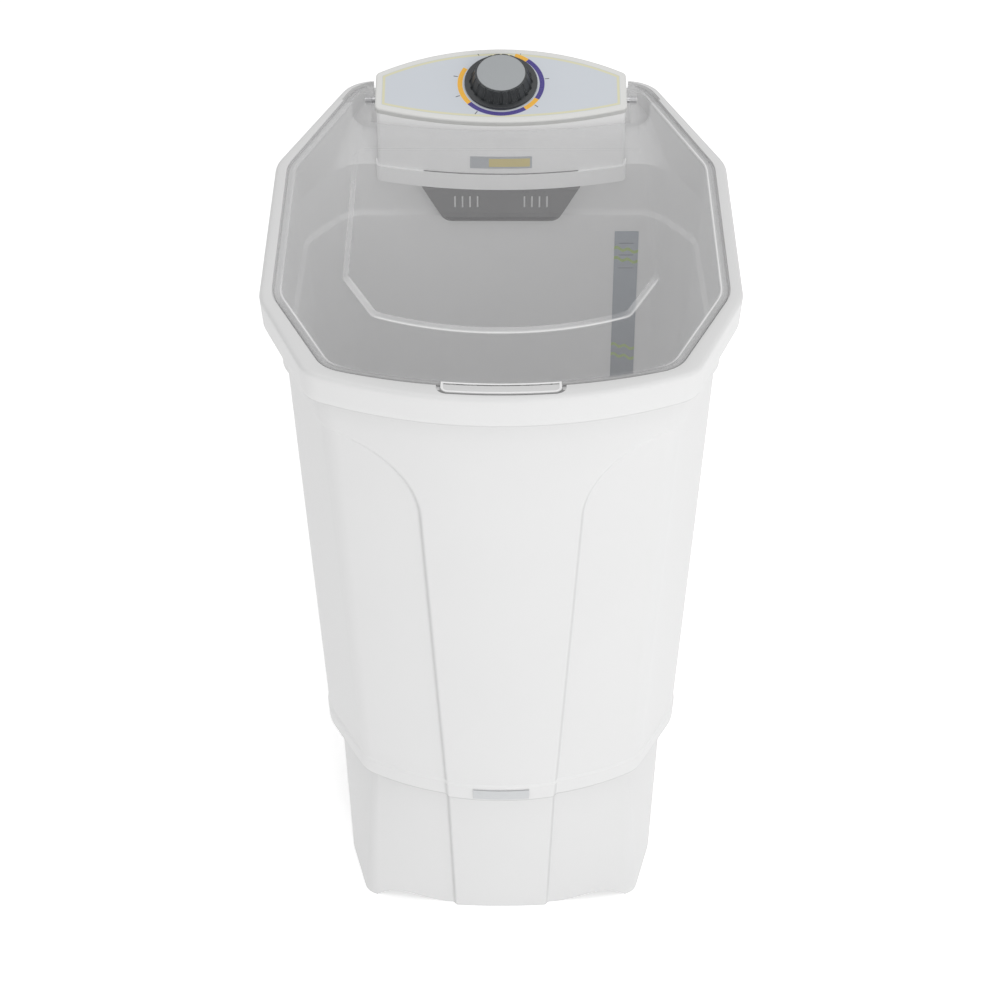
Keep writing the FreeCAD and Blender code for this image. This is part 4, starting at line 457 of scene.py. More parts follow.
def body_rows(z, inset):
    """The body's wall at these heights: the outline between foot and top, slid out by the raised share."""
    z = np.atleast_1d(z)
    share = (z - BODY_FOOT_Z) / (LIP_Z - BODY_FOOT_Z)
    plans = BODY_FOOT + (BODY_TOP - BODY_FOOT) * share[:, None]
    crease = body_panel_half(z)
    plain = outline(plans, inset, crease)
    proud = outline(plans, inset - RAISE, crease)
    share = raised_share(plain, z[:, None], np.maximum(inset, 0.0))[..., None]
    return plain + (proud - plain) * share


def crease_shade(share):
    """How much a crease holds shade: (4 s (1 - s))^2, so 0 on flat wall and 1 in the middle of its slope."""
    return (4.0 * share * (1.0 - share)) ** 2


print("panel half width in mm, foot and top", body_panel_half(BODY_FOOT_Z), body_panel_half(FLARE_Z))

# %% [markdown]
# The profile starts at the hole for the drive shaft, crosses the tub's floor, climbs the inside wall, goes
# over the step for the lid and the rim, down and under the lip, down the outside, round the foot and back
# underneath to the hole. Rows are close together where the wall bends.

# %% Tub profile
DRIVE_DEPTH = 318.0
SHAFT_HOLE = 20.0
BOSS_RADIUS = 66.0
FLOOR_Z = 251.0
FLOOR_ROUND = 10.0
UNDER_Z = 246.0
BOSS_Z = 232.0
HOPPER_RISE = 65.0
COLLAR_RISE = 69.0
RIM_ROUND = 5.0
LIP_LEAN = 2.5


def arc_rows(count, start, end):
    """Cosine and sine along part of a turn, for rounding an edge between two rows."""
    angle = np.radians(np.linspace(start, end, count))
    return np.cos(angle), np.sin(angle)


def round_drive(xy, radius):
    """A circle about the drive shaft with one point for every column of an outline."""
    away = xy - np.array([0.0, DRIVE_DEPTH])
    return np.array([0.0, DRIVE_DEPTH]) + away / np.linalg.norm(away, axis=-1, keepdims=True) * radius


def tub_grid():
    """Rows of the closed tub profile, and how many of them lie inside the tub. Body walls follow body_rows;
    the hopper and collar go straight from it to the lid's outline and the collar's; the rim's edge and the
    floor's corner are quarter circles."""
    rows = []

    def put(xy, z):
        rows.append(lift(xy, z))

    ring = round_drive(body_rows(FLOOR_Z, WALL), SHAFT_HOLE)
    edge = body_rows(FLOOR_Z, WALL + FLOOR_ROUND)
    for share in (0.0, 0.35, 0.7, 0.9):
        put(ring + (edge - ring) * share, FLOOR_Z)
    for c, s in zip(*arc_rows(6, -90.0, 0.0)):
        z = FLOOR_Z + FLOOR_ROUND + FLOOR_ROUND * s
        put(body_rows(z, WALL + FLOOR_ROUND - FLOOR_ROUND * c), z)
    inside_z = np.concatenate([np.linspace(275, 690, 24), np.linspace(695, HOPPER_Z, 50)])
    put(body_rows(inside_z, WALL), inside_z)
    crease = PANEL_TOP_HALF
    foot_in = body_rows(HOPPER_Z, WALL)
    head_in = outline(LID, 9.0, crease)
    for share in np.linspace(0.0, 1.0, 12)[1:]:
        put(foot_in + (head_in - foot_in) * share, HOPPER_Z + HOPPER_RISE * share)
    inside = sum(len(row) for row in rows)
    for inset, z in ((9.0, 899.9), (8.2, SEAT_Z), (-0.7, SEAT_Z), (-1.4, SEAT_Z + 0.4), (-1.5, LID_TOP_Z),
                     (-1.8, 904.7), (-2.5, RIM_Z)):
        put(outline(LID, inset, crease), z)
    for c, s in zip(*arc_rows(7, 90.0, 0.0)):
        put(outline(RIM, 5.3 - RIM_ROUND * c, crease), RIM_Z - RIM_ROUND + RIM_ROUND * s)
    for z in (893.0, 884.0, 875.0, 868.0):
        put(outline(RIM, LIP_LEAN * (RIM_Z - z) / (RIM_Z - LIP_Z), crease), z)
    for inset, z in ((3.1, 865.8), (4.4, LIP_Z), (5.6, 865.6), (6.3, 868.0), (4.0, 896.0)):
        put(outline(RIM, inset, crease), z)
    head_out = outline(COLLAR, 0.0, crease)
    foot_out = body_rows(HOPPER_Z, 0.0)
    put(foot_out + (head_out - foot_out) * 0.93, 896.4)
    for share in np.linspace(0.9, 0.0, 14)[:-1]:
        put(foot_out + (head_out - foot_out) * share, HOPPER_Z + COLLAR_RISE * share)
    outside_z = np.concatenate([np.linspace(HOPPER_Z, 690, 56), np.linspace(682, 250, 30)])
    put(body_rows(outside_z, 0.0), outside_z)
    for z, proud in ((247.6, 0.15), (246.6, 0.7), (245.6, 1.3), (244.0, 1.5), (236.0, 1.5), (226.0, 1.5),
                     (223.0, 1.5), (221.5, 1.5), (220.3, 1.0), (BODY_FOOT_Z, 0.0)):
        put(body_rows(z, -proud), z)
    for inset, z in ((2.9, BODY_FOOT_Z), (WALL, BODY_FOOT_Z + 0.6)):
        put(body_rows(BODY_FOOT_Z, inset), z)
    hem = outline(BODY_FOOT, WALL, PANEL_FOOT_HALF)
    boss = round_drive(hem, BOSS_RADIUS)
    put(hem, UNDER_Z - 0.6)
    for share in (0.98, 0.6, 0.0):
        put(boss + (hem - boss) * share, UNDER_Z)
    put(boss, BOSS_Z)
    put(round_drive(hem, SHAFT_HOLE), BOSS_Z)
    return np.concatenate(rows), inside


tub_points, inside = tub_grid()
print("tub rows", len(tub_points))

# %% [markdown]
# ## Cuts in the tub
# A mould has cores that leave openings: the console's notch at the back, the pocket under the finger tab and
# a curved trough behind the hinge, where the lid's rear edge swings down. These cut across the profile, so
# they are made as on the bench: simple solids added to the wall or taken out of it.

# %% Solids for cutting
HINGE_DEPTH = 630.0
HINGE_Z = 901.0
SWING_GAP = 1.2
SWING = math.hypot(LID[7] - HINGE_DEPTH, LID_TOP_Z - HINGE_Z) + SWING_GAP
TROUGH_AHEAD = 6.0
TROUGH_HALF = 260.0
ABOVE_Z = 960.0
TROUGH_LOW_Z = 840.0
TAB_HALF = 66.0
TAB_ROUND = 8.0


def across(profile, half):
    """Solid from -half to half in x: a (depth, z) profile in mm carried straight across."""
    ends = [np.stack([0 * profile[:, 0] + x * MM, profile[:, 0] * MM + FRONT_Y, profile[:, 1] * MM], 1)
            for x in (-half, half)]
    return shell("across", np.stack(ends), capped=True)


def upright(xy, low, high):
    """Solid between two heights: an (x, depth) outline in mm carried straight up."""
    return shell("upright", lift(np.stack([xy, xy]), np.array([low, high])), capped=True)


def rectangle(left, right, near, far):
    """Corners of a rectangle in a plane, anticlockwise."""
    return np.array([[left, near], [right, near], [right, far], [left, far]])


def carve(piece, tool, operation="DIFFERENCE"):
    """Cuts the tool out of the piece, joins it or keeps what both share, and takes the tool away."""
    step = piece.modifiers.new("carve", "BOOLEAN")
    step.operation = operation
    step.solver = "MANIFOLD"
    step.object = tool
    bpy.context.view_layer.update()
    whole = piece.evaluated_get(bpy.context.evaluated_depsgraph_get())
    carved = bpy.data.meshes.new_from_object(whole)
    piece.modifiers.clear()
    piece.data = carved
    bpy.data.objects.remove(tool)
    return piece


def swing_room(wall):
    """Where the lid's rear edge swings: a disc about the hinge line, behind a flat front, larger by wall."""
    radius = SWING + wall
    reach = TROUGH_AHEAD + wall
    angle = np.radians(np.linspace(-80.0, 90.0 + math.degrees(math.asin(reach / radius)), 60))
    disc = np.stack([HINGE_DEPTH + radius * np.cos(angle), HINGE_Z - radius * np.sin(angle)], 1)
    return across(np.concatenate([disc, [[HINGE_DEPTH - reach, HINGE_Z + radius]]]), TROUGH_HALF)


def rounded_tab(gap, front, rear):
    """Outline of the finger tab in (x, depth): two quarter circles at the front, square at the rear, and all
    bent along the bow of the lid's front edge by x^2 / (2 * bow)."""
    half = TAB_HALF + gap
    size = min(TAB_ROUND + gap, rear - front - 0.5)
    cos, sin = arc_rows(10, -90.0, 0.0)
    turn = np.stack([half - size + size * cos, front + size + size * sin], 1)
    ahead = np.linspace(0.0, half - size, 8)[:-1]
    behind = np.linspace(half, 0.0, 8)
    ahead = np.stack([ahead, 0 * ahead + front], 1)
    right = np.concatenate([ahead, turn, np.stack([behind, 0 * behind + rear], 1)])
    whole = np.concatenate([right, right[-2:0:-1] * MIRROR])
    whole[:, 1] += whole[:, 0] ** 2 / (2 * LID[2])
    return whole


def mouth_room():
    """The hopper and the opening over it, half a millimetre into the wall: outlines joined level by level."""
    foot = body_rows(HOPPER_Z, WALL - 0.5)
    head = outline(LID, 8.5, PANEL_TOP_HALF)
    levels = np.array([HOPPER_Z, 897.5, ABOVE_Z])
    return shell("mouth", lift(np.concatenate([foot, head, head]), levels), capped=True)


print("swing radius", round(SWING, 2))

# %% [markdown]
# Each point of the wall carries a painted light value for the finish. Above 0 it is painted light: the whole
# inside of the tub emits a little, and a pale painted highlight runs along the top of the foot band. Below 0
# it is painted shade in the creases, under the lip and along the foot band's lower edge. The trough and the
# tab's ledge are joined to the wall before the openings in them are cut, so that a cut goes clean
# through both.

# %% Tub
CONSOLE_FRONT = 556.0
CONSOLE_REAR = 900.0
level = tub_points / MM - np.array([0.0, FRONT_Y / MM, 0.0])
height = level[..., 2]
# Painted shade in the creases round the raised panels.
painted_light_and_shade = -CREASE_SHADE * crease_shade(raised_share(level[..., :2], height, 0.0))
# Painted shade under the lip and along the foot band's lower edge, and a painted highlight along its top.
for low, high, value in ((864.0, 866.5, -0.7), (219.5, 222.0, -0.7), (244.5, 248.0, 0.8)):
    painted_light_and_shade += value * (height > low) * (height < high)
# Painted light: the whole inside of the tub emits a little.
painted_light_and_shade[:inside] = 1.0
tub = shell("tub_shell", tub_points, weights=painted_light_and_shade)
trough = carve(swing_room(WALL), upright(outline(RIM, 4.0)[0], TROUGH_LOW_Z, 900.5), "INTERSECT")
carve(trough, mouth_room())
carve(tub, trough, "UNION")
for inset, low in ((-1.5, TROUGH_LOW_Z), (-4.0, 893.0)):
    room = carve(swing_room(0.0), upright(outline(LID, inset)[0], low, ABOVE_Z), "INTERSECT")
    carve(tub, room)
for half, low, high in ((159.5, 833.0, 837.0), (156.6, 836.5, 894.0), (163.0, 893.5, 1200.0)):
    carve(tub, upright(rectangle(-half, half, CONSOLE_FRONT, CONSOLE_REAR), low, high))
ledge = upright(rounded_tab(8.5, 4.0, 19.5), 890.5, 904.2)
carve(ledge, upright(outline(RIM, 3.0)[0], 800.0, ABOVE_Z), "INTERSECT")
carve(tub, ledge, "UNION")
for rear, low in ((19.0, 896.5), (60.0, SEAT_Z)):
    carve(tub, upright(rounded_tab(4.5, 8.0, rear), low, ABOVE_Z))
tub.data.set_sharp_from_angle(angle=SHARP)
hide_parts("tub")
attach(tub, "cabinet")
print("tub faces", len(tub.data.polygons))

# %% [markdown]
# ## Skirt
# Under the tub stands a narrower skirt with the same raised front panel. Its foot rises in shallow arches
# between the corners. The wall runs straight from the foot's outline to the tub's, so each column is a line
# whose lower end starts on the arch.

# %% Skirt
SKIRT_FOOT_Z = 1.0
SKIRT_PANEL_HALF = 61.0
SKIRT_GAP = 14.0
SKIRT_RISE = BODY_FOOT_Z - SKIRT_FOOT_Z
ARCH_RISE = 12.0


def arch(along, start, end, peak):
    """Height of a shallow arch between start and end: a half sine whose top lies at the peak share."""
    t = np.clip((along - start) / (end - start), 0.0, 1.0)
    t = t ** (math.log(0.5) / math.log(peak))
    return ARCH_RISE * np.sin(math.pi * t)


def skirt_grid():
    """Rows up the outside and down the inside: foot + (top - foot) * share, the foot lifted by the arches."""
    insets = (0.0, -RAISE, WALL)
    feet = [outline(FOOT, inset, SKIRT_PANEL_HALF)[0] for inset in insets]
    tops = [outline(BODY_FOOT, SKIRT_GAP + inset, PANEL_FOOT_HALF)[0] for inset in insets]
    outer_foot, proud_foot, inner_foot = feet
    outer_top, proud_top, inner_top = tops
    x = np.abs(outer_foot[:, 0])
    depth = outer_foot[:, 1]
    rise = np.where(depth < 95.0, arch(x, 66.0, 166.0, 0.68), 0.0)
    rise = np.maximum(rise, np.where(x > 190.0, arch(depth, 202.0, 425.0, 0.5), 0.0))
    rise = np.maximum(rise, np.where(depth > 545.0, arch(outer_foot[:, 0], -126.0, 126.0, 0.5), 0.0))
    low = SKIRT_FOOT_Z + rise
    rows = []
    shades = []

    def put(foot, top, z, shade=0.0):
        share = ((z - SKIRT_FOOT_Z) / SKIRT_RISE)[:, None]
        rows.append(lift((foot + (top - foot) * np.minimum(share, 1.0))[None], z[None]))
        shades.append(0.0 * z - shade)

    def front(z):
        up = np.clip((z - SKIRT_FOOT_Z) / SKIRT_RISE, 0, 1)
        here = np.abs(outer_foot[:, 0] + (outer_top - outer_foot)[:, 0] * up)
        edge = panel_half(z, SKIRT_FOOT_Z, SKIRT_PANEL_HALF, BODY_FOOT_Z, PANEL_FOOT_HALF) - here
        risen = np.where(depth < 200.0, soft_step(edge, -3.0, 3.0), 0.0)
        share = risen[:, None]
        foot = outer_foot + (proud_foot - outer_foot) * share
        top = outer_top + (proud_top - outer_top) * share
        return foot, top, z, CREASE_SHADE * crease_shade(risen)

    for share in (0.0, 0.004, 0.02, 0.08, 0.16, 0.3, 0.45, 0.6, 0.75, 0.9, 1.0):
        put(*front(low + (BODY_FOOT_Z - low) * share))
    tall = np.full_like(low, UNDER_Z)
    put(outer_foot, outer_top, np.full_like(low, BODY_FOOT_Z + 2.0))
    put(outer_foot, outer_top, tall)
    put(inner_foot, inner_top, tall)
    for share in (1.0, 0.6, 0.2, 0.02, 0.0):
        put(inner_foot, inner_top, low + (BODY_FOOT_Z - low) * share)
    return np.concatenate(rows), np.stack(shades)


skirt_points, skirt_shade = skirt_grid()
# The skirt's creases carry painted shade.
skirt = shell("skirt_shell", skirt_points, weights=skirt_shade)
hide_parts("base_skirt")
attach(skirt, "cabinet")
print("skirt faces", len(skirt.data.polygons))

# %% [markdown]
# ## Lid
# The lid is one sheet of smoked clear plastic with a low raised panel in the middle, a finger tab at the
# front and a notch that fits round the console. Each point also carries a painted light value: above 0 it
# paints highlights, paler and denser, along the edges and on the raised panel's slope; below 0 it paints
# shade, darker and denser, on the border outside the edge highlight and along the lower edge.

# %% Lid
EMBOSS = np.array([181, 122, 345, 36, 74, 12, 12, 508, 16, 16, 8.0])
PANEL_Z = 908.0
PANEL_MIDDLE = np.array([0.0, 320.0])
LID_THICKNESS = 3.0
LID_LOW_Z = LID_TOP_Z - LID_THICKNESS
EDGE_ROUND = 1.2
EDGE_ROWS = 6


def lid_rows():
    """Rows of the lid's top as (outline, height, painted light): rings about the middle of the raised panel,
    its soft slope, the flat border and a rounded edge of EDGE_ROWS rows."""
    panel = outline(EMBOSS, 7.0)
    plain = 0.0 * panel[..., 0]
    rings = [PANEL_MIDDLE + (panel - PANEL_MIDDLE) * share for share in (0.3, 0.6, 0.85, 0.97)]
    rows = [(ring, PANEL_Z, plain) for ring in rings]

    def slope_painted_light(xy, inset):
        """Painted highlight on the slope: a band, weaker to the right and the rear, and a bell-shaped line
        along its front.
        """
        bevel = soft_step(-xy[..., 1], -236.0, -214.0)
        front = bevel * (1.0 - soft_step(np.abs(xy[..., 0]), 132.0, 148.0))
        right = soft_step(xy[..., 0], 60.0, 170.0)
        rear = 1.0 - 0.6 * soft_step(xy[..., 1], 400.0, 490.0)
        band = soft_step(inset, -1.0, 0.2) * (1.0 - soft_step(inset, 6.0, 7.0))
        line = math.exp(-((inset - 0.8) / 1.2) ** 2)
        share = (0.45 - 0.4 * right) * (1.0 - bevel) + (0.7 - 0.35 * right) * bevel - 0.3 * front
        return rear * (share * band + (0.55 * front + 0.4 * right * bevel) * line)

    def edge_painted_light(xy, inset):
        """A painted highlight, a pale bell-shaped line inside the edge that is brighter at the corners, and
        painted shade below 0 outside that line.
        """
        corner = soft_step(np.abs(xy[..., 0]), 150.0, 215.0)
        left = 1.0 - 0.8 * soft_step(xy[..., 1], 170.0, 260.0)
        right = 1.0 - 0.15 * soft_step(xy[..., 1], 430.0, 600.0)
        pale = 0.16 + 0.84 * corner * np.where(xy[..., 0] < 0.0, left, right)
        side = soft_step(xy[..., 1], 165.0, 215.0)
        dark = 1.45 - 0.45 * corner - np.where(xy[..., 0] < 0.0, 0.65, 0.3) * side
        dark = dark * soft_step(-inset, -7.4, -6.4) * (0.5 + 0.2 * soft_step(-inset, -3.0, -1.0))
        return pale * math.exp(-((inset - 8.4) / 1.4) ** 2) - dark

    for inset in np.linspace(7.0, -1.0, 13):
        xy = outline(EMBOSS, inset)
        z = PANEL_Z - (PANEL_Z - LID_TOP_Z) * soft_step(-inset, -6.8, 0.8)
        rows.append((xy, z, slope_painted_light(xy, inset)))
    inner = outline(EMBOSS, -1.0)
    border = outline(LID, 12.0)
    rows += [(inner + (border - inner) * share, LID_TOP_Z, plain) for share in (0.1, 0.4, 0.7, 1.0)]
    for inset in (10.4, 9.6, 9.0, 8.4, 7.8, 7.2, 6.4, 4.5, 2.6, 1.8, 1.2):
        xy = outline(LID, inset)
        rows.append((xy, LID_TOP_Z, edge_painted_light(xy, inset)))
    for c, s in zip(*arc_rows(5, 67.5, 0.0)):
        inset = EDGE_ROUND - EDGE_ROUND * c
        xy = outline(LID, inset)
        rows.append((xy, LID_TOP_Z - EDGE_ROUND + EDGE_ROUND * s, edge_painted_light(xy, inset)))
    return rows


top = lid_rows()
edge = outline(LID, 0.0)
plain = 0.0 * edge[..., 0]
# Painted shade along the lid's lower edge.
low_edge = [(edge, LID_LOW_Z + 0.4, plain - 0.7), (outline(LID, 0.4), LID_LOW_Z, plain - 0.5)]
under = [(xy, z - LID_THICKNESS, 0.0 * painted_light) for xy, z, painted_light in reversed(top[:-EDGE_ROWS])]
parts = top + low_edge + under
lid_grid = np.concatenate([lift(xy, z) for xy, z, _ in parts])
lid_painted_light = np.concatenate([painted_light for _, _, painted_light in parts])
lid = shell("lid_sheet", lid_grid, capped=True, weights=lid_painted_light)
print("lid rows", len(parts))

# %% [markdown]
# The notch is cut with an upright solid whose front is the arc of the console's wall, set off by a gap. Two
# lugs under the rear corners turn on the hinge pins. The tab is a separate lip with a paler, denser copy of
# the smoked finish, a painted highlight along its rounded top edge and painted shade on the narrow flange
# round it.

# %% Notch, lugs and tab
NOTCH_HALF = 163.0
NOTCH_RISE = 20.23
NOTCH_FRONT = 551.03
LUG_INNER = 163.5
LUG_OUTER = 171.5
LUG_RADIUS = 6.0
PIN_BORE = 4.05
NOTCH_PAINTED_LIGHT = 0.08


def bow_radius(half, rise):
    """Radius of a circle arc from its half width and its rise: (half^2 + rise^2) / (2 rise)."""
    return (half ** 2 + rise ** 2) / (2 * rise)


def bowed(x, front, bow):
    """Depth along a circle arc that is foremost in the middle: front + bow - sqrt(bow^2 - x^2)."""
    return front + bow - np.sqrt(bow ** 2 - x ** 2)


x = np.linspace(-NOTCH_HALF, NOTCH_HALF, 60)
arc = np.stack([x, bowed(x, NOTCH_FRONT, bow_radius(NOTCH_HALF, NOTCH_RISE))], 1)
notch = np.concatenate([arc, [[NOTCH_HALF, 720.0], [-NOTCH_HALF, 720.0]]])
carve(lid, upright(notch, 880.0, 940.0))
angle = np.radians(np.arange(0.0, 360.0, 10.0))
lug_side = np.stack([HINGE_DEPTH + LUG_RADIUS * np.cos(angle), HINGE_Z - LUG_RADIUS * np.sin(angle)], 1)
lugs = across(lug_side, LUG_OUTER)
carve(lugs, upright(rectangle(-LUG_INNER, LUG_INNER, 600.0, 660.0), 860.0, 940.0))
carve(lid, lugs, "UNION")
bore = np.stack([HINGE_DEPTH + PIN_BORE * np.cos(angle), HINGE_Z + PIN_BORE * np.sin(angle)], 1)
carve(lid, across(bore, LUG_OUTER + 2.5))
lid.data.set_sharp_from_angle(angle=SHARP)
# Only a faint painted highlight near the notch and the lugs.
for vertex, painted_light in zip(lid.data.vertices, lid.data.attributes["painted_light"].data):
    if abs(vertex.co.x) < (LUG_OUTER + 1.0) * MM and vertex.co.y > FRONT_Y + 545.0 * MM:
        painted_light.value = NOTCH_PAINTED_LIGHT


def tab_grid():
    """Rows of the finger tab from the middle of its top over a rounded edge, out along a narrow flange and
    back
    to the middle of its underside: (gap, front, rear, height, painted light), a painted highlight on top and
    painted shade on the flange."""
    rows = np.array([
        (-7.0, 19.5, 24.0, 904.0, 0.1), (-3.4, 15.9, 27.6, 904.0, 0.1), (-2.6, 15.1, 28.4, 904.15, 0.45),
        (-1.7, 14.2, 29.3, 904.3, 0.5), (-0.9, 13.4, 30.1, 904.2, 0.45), (-0.25, 12.75, 30.75, 903.8, 0.1),
        (0.0, 12.5, 31.0, 903.2, -0.4), (0.0, 12.5, 31.0, 901.6, -0.9), (0.4, 12.1, 18.5, 901.0, -1.0),
        (3.4, 9.1, 18.5, 900.7, -1.0), (3.4, 9.1, 18.5, 899.9, -1.0), (-7.0, 13.5, 18.0, 899.7, -0.5)])
    rings = np.stack([rounded_tab(*row[:3]) for row in rows])
    return lift(rings, rows[:, 3]), np.repeat(rows[:, 4:], rings.shape[1], axis=1)


tab_points, tab_painted_light = tab_grid()
tab = shell("lid_tab", tab_points, capped=True, weights=tab_painted_light)
for piece in (lid, tab):
    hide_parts("lid")
    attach(piece, "lid")
print("lid faces", len(lid.data.polygons))

# %% [markdown]
# ## Lint filter
# The filter hangs under the console: a grey box open at the back, with two groups of slots and a bevelled,
# rounded face that leans back below a knee. Its outline is a six-cornered polygon whose corners are eased by
# short parabolas; the rows step inwards over the bevel, and the lean and the slots are cut afterwards.

# %% Filter
FILTER_CORNERS = np.array([[102.0, 814.0], [82.5, 777.0], [71.5, 758.0]])
FILTER_INWARDS = np.array([[-1.0, -1.0], [-1.0, 0.0], [-1.0, 1.0]])
FILTER_CUTS = np.array([1.5, 7.0, 11.0]) * 0.95
FILTER_ROWS = [(6.0, 562.3), (4.0, 562.4), (2.0, 563.2), (0.7, 565.0), (0.2, 567.5), (0.2, 579.0),
               (2.5, 579.0), (2.5, 565.5)]


def eased(corners, cuts):
    """Closed polygon with each corner replaced by a parabola that starts and ends a cut away from it."""
    ways = [np.roll(corners, step, axis=0) - corners for step in (1, -1)]
    start, end = [corners + way / np.linalg.norm(way, axis=1, keepdims=True) * cuts[:, None] for way in ways]
    t = np.linspace(0.0, 1.0, 7)[None, :, None]
    curve = start[:, None] * (1 - t) ** 2 + 2 * corners[:, None] * t * (1 - t) + end[:, None] * t ** 2
    return curve.reshape(-1, 2)


def filter_ring(inset):
    """The filter's outline in (x, z), moved in by the inset."""
    right = FILTER_CORNERS + FILTER_INWARDS * inset
    left = right[::-1] * MIRROR
    return eased(np.concatenate([right, left]), np.concatenate([FILTER_CUTS, FILTER_CUTS[::-1]]))


rings = [np.insert(filter_ring(inset), 1, depth, axis=1) for inset, depth in FILTER_ROWS]
box_of_filter = (np.stack(rings) + np.array([0.0, FRONT_Y / MM, 0.0])) * MM
lint = shell("filter_case", box_of_filter, capped=True)
lean = np.array([[540.0, 775.0], [562.2, 775.0], [569.5, 755.0], [540.0, 755.0]])
carve(lint, across(lean, 130.0))
for x in np.outer([-1.0, 1.0], 30.0 + 9.6 * np.arange(4)).ravel():
    carve(lint, upright(rectangle(x - 1.0, x + 1.0, 555.0, 566.5), 783.0, 800.0))
for x in (-50.0, 50.0):
    carve(lint, upright(rectangle(x - 8.0, x + 8.0, 568.1, 573.1), 811.0, 824.0), "UNION")
lint.data.set_sharp_from_angle(angle=SHARP)
liner = across(rectangle(563.0, 564.6, 782.0, 801.0), 62.0)
liner.name = "filter_liner"
for piece, slot in ((lint, "grey_plastic"), (liner, "filter_mesh")):
    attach(piece, "filter")
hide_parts("filter_frame")
print("filter faces", len(lint.data.polygons))

# %% [markdown]
# Between the console's wall and the band below it runs a narrow dark slot, as wide as the filter, where the
# filter's tongues go up. It is a thin strip of the filter's dark grey plastic that follows the bow of the
# wall, and stands partly for the tongues and partly as painted shade in the slot.

# %% Filter slot
x = np.linspace(-98.0, 98.0, 40)
wall = bowed(x, 558.0, bow_radius(156.0, 22.5))
around = np.concatenate([np.stack([x, wall - 2.0], 1), np.stack([x, wall - 0.1], 1)[::-1]])
gap = upright(around, 835.6, 836.4)
gap.name = "filter_gap"
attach(gap, "cabinet")
print("slot faces", len(gap.data.polygons))

# %% [markdown]
# ## Moulded finishes
# Most of the machine is injection-moulded plastic: an even colour, a satin skin whose shine drifts a little
# from place to place, and a very fine grain from the mould. One recipe with different sizes covers them all.

# %% Plastic recipe
DRIFT = 0.012


def carried_painted_light(place):
    """The painted light and shade value that each point of a mesh carries."""
    return place.add("ShaderNodeAttribute", {"attribute_name": "painted_light"}, out=2)


def moulded(name, colour, shine, grain=0.00004, scale=900.0, with_painted_light=False, **fixed):
    """Moulded plastic: colour and roughness drift by a few hundredths, and a fine grain stands a few
    hundredths of a millimetre high. With painted light on, a piece emits painted light where the value that
    its points carry is above 0, and painted shade darkens its colour where that value is below 0."""
    material, shader, place = finish(name + "_finish", **fixed)
    wide = place.noise(6.0, 3.0)
    fine = place.noise(scale)
    darker = tuple(c * (1.0 - DRIFT * 2) for c in colour)
    lighter = tuple(min(c * (1.0 + DRIFT), 1.0) for c in colour)
    skin = wide.tint(darker, lighter)
    if with_painted_light:
        painted_light_and_shade = carried_painted_light(place)
        # Painted light: emission where the carried value is above 0.
        feed(painted_light_and_shade.tint((0.0, 0.0, 0.0), (1.0, 1.0, 1.0)), shader, "Emission Color")
        # Painted shade: the colour darkens towards 0.62 of itself where the carried value is below 0.
        skin = (painted_light_and_shade * -1.0).tint(skin, tuple(c * 0.62 for c in colour))
    dress(shader, skin, shine - 0.05 + wide * 0.06 + fine * 0.04, fine, grain)
    return material


finishes = {
    # The white plastic of the tub and skirt carries painted light and painted shade from its points.
    "white_plastic": moulded("white_plastic", (0.68, 0.68, 0.68), 0.42, with_painted_light=True, Emission_Strength=0.07),
    "silver_plastic": moulded("silver_plastic", (0.33, 0.345, 0.355), 0.34, Metallic=0.35),
}
for name, *sizes in (
        ("cream_plastic", (0.68, 0.68, 0.665), 0.38),
        ("charcoal_plastic", (0.03, 0.033, 0.036), 0.3, 0.00006),
        ("grey_plastic", (0.105, 0.105, 0.105), 0.45),
        ("black_rubber", (0.02, 0.02, 0.021), 0.7, 0.0001, 500.0),
        ("black_paint", (0.03, 0.03, 0.032), 0.35, 0.00008, 300.0),
        ("filter_mesh", (0.8, 0.8, 0.8), 0.6)):
    finishes[name] = moulded(name, *sizes)
print("plastics", sorted(finishes))

# %% [markdown]
# ## Smoked clear plastic
# The lid lets most light through and greys what is behind it. A thin sheet hardly bends the view, so a partly
# transparent surface gives the same look as real refraction with little noise.

# %% Lid finish
# Colours of the painted highlight and the painted shade on the clear plastic.
PAINTED_HIGHLIGHT = (0.95, 0.95, 0.95)
PAINTED_SHADE = (0.3, 0.3, 0.3)


def smoked(name, colour, density):
    """Thin clear plastic with a nearly polished skin: denser and paler with a painted highlight where the
    painted light value is above 0, denser and darker with painted shade where it is below."""
    material, shader, place = finish(name, IOR=1.49)
    painted_light = carried_painted_light(place)
    wide = place.noise(5.0)
    tone = (painted_light * -1.0).most(0.0).tint(painted_light.most(0.0).tint(colour, PAINTED_HIGHLIGHT), PAINTED_SHADE)
    feed((density + wide * 0.02 + abs(painted_light) * 0.55).least(1.0), shader, "Alpha")
    dress(shader, tone, 0.1 + wide * 0.06, place.noise(40.0), 0.00001)
    return material


finishes["smoked_clear"] = smoked("smoked_clear_finish", (0.64, 0.64, 0.65), 0.13)
tab_finish = smoked("tab_clear_finish", (0.9, 0.9, 0.9), 0.6)
print("lid finish", finishes["smoked_clear"].name)

# %% [markdown]
# ## Printed films
# The console's film is printed: a pale blue-grey ground, a thin border line and a ring of coloured arcs round
# the knob with a tick for each part of the wash. The print is worked out from distances in the panel's own
# plane, so its edges stay sharp at any size. A Mapping node lays that plane on the tilted panel. Sizes in
# the films are in metres, as the shader sees them, and angles are in degrees.

# %% Dial print
SOFT = 0.00025


def stripe(tap, centre, half, soft=SOFT):
    """1 within half of the centre and 0 beyond, with a soft edge."""
    return 1.0 - abs(tap - centre).ease(half - soft, half + soft)


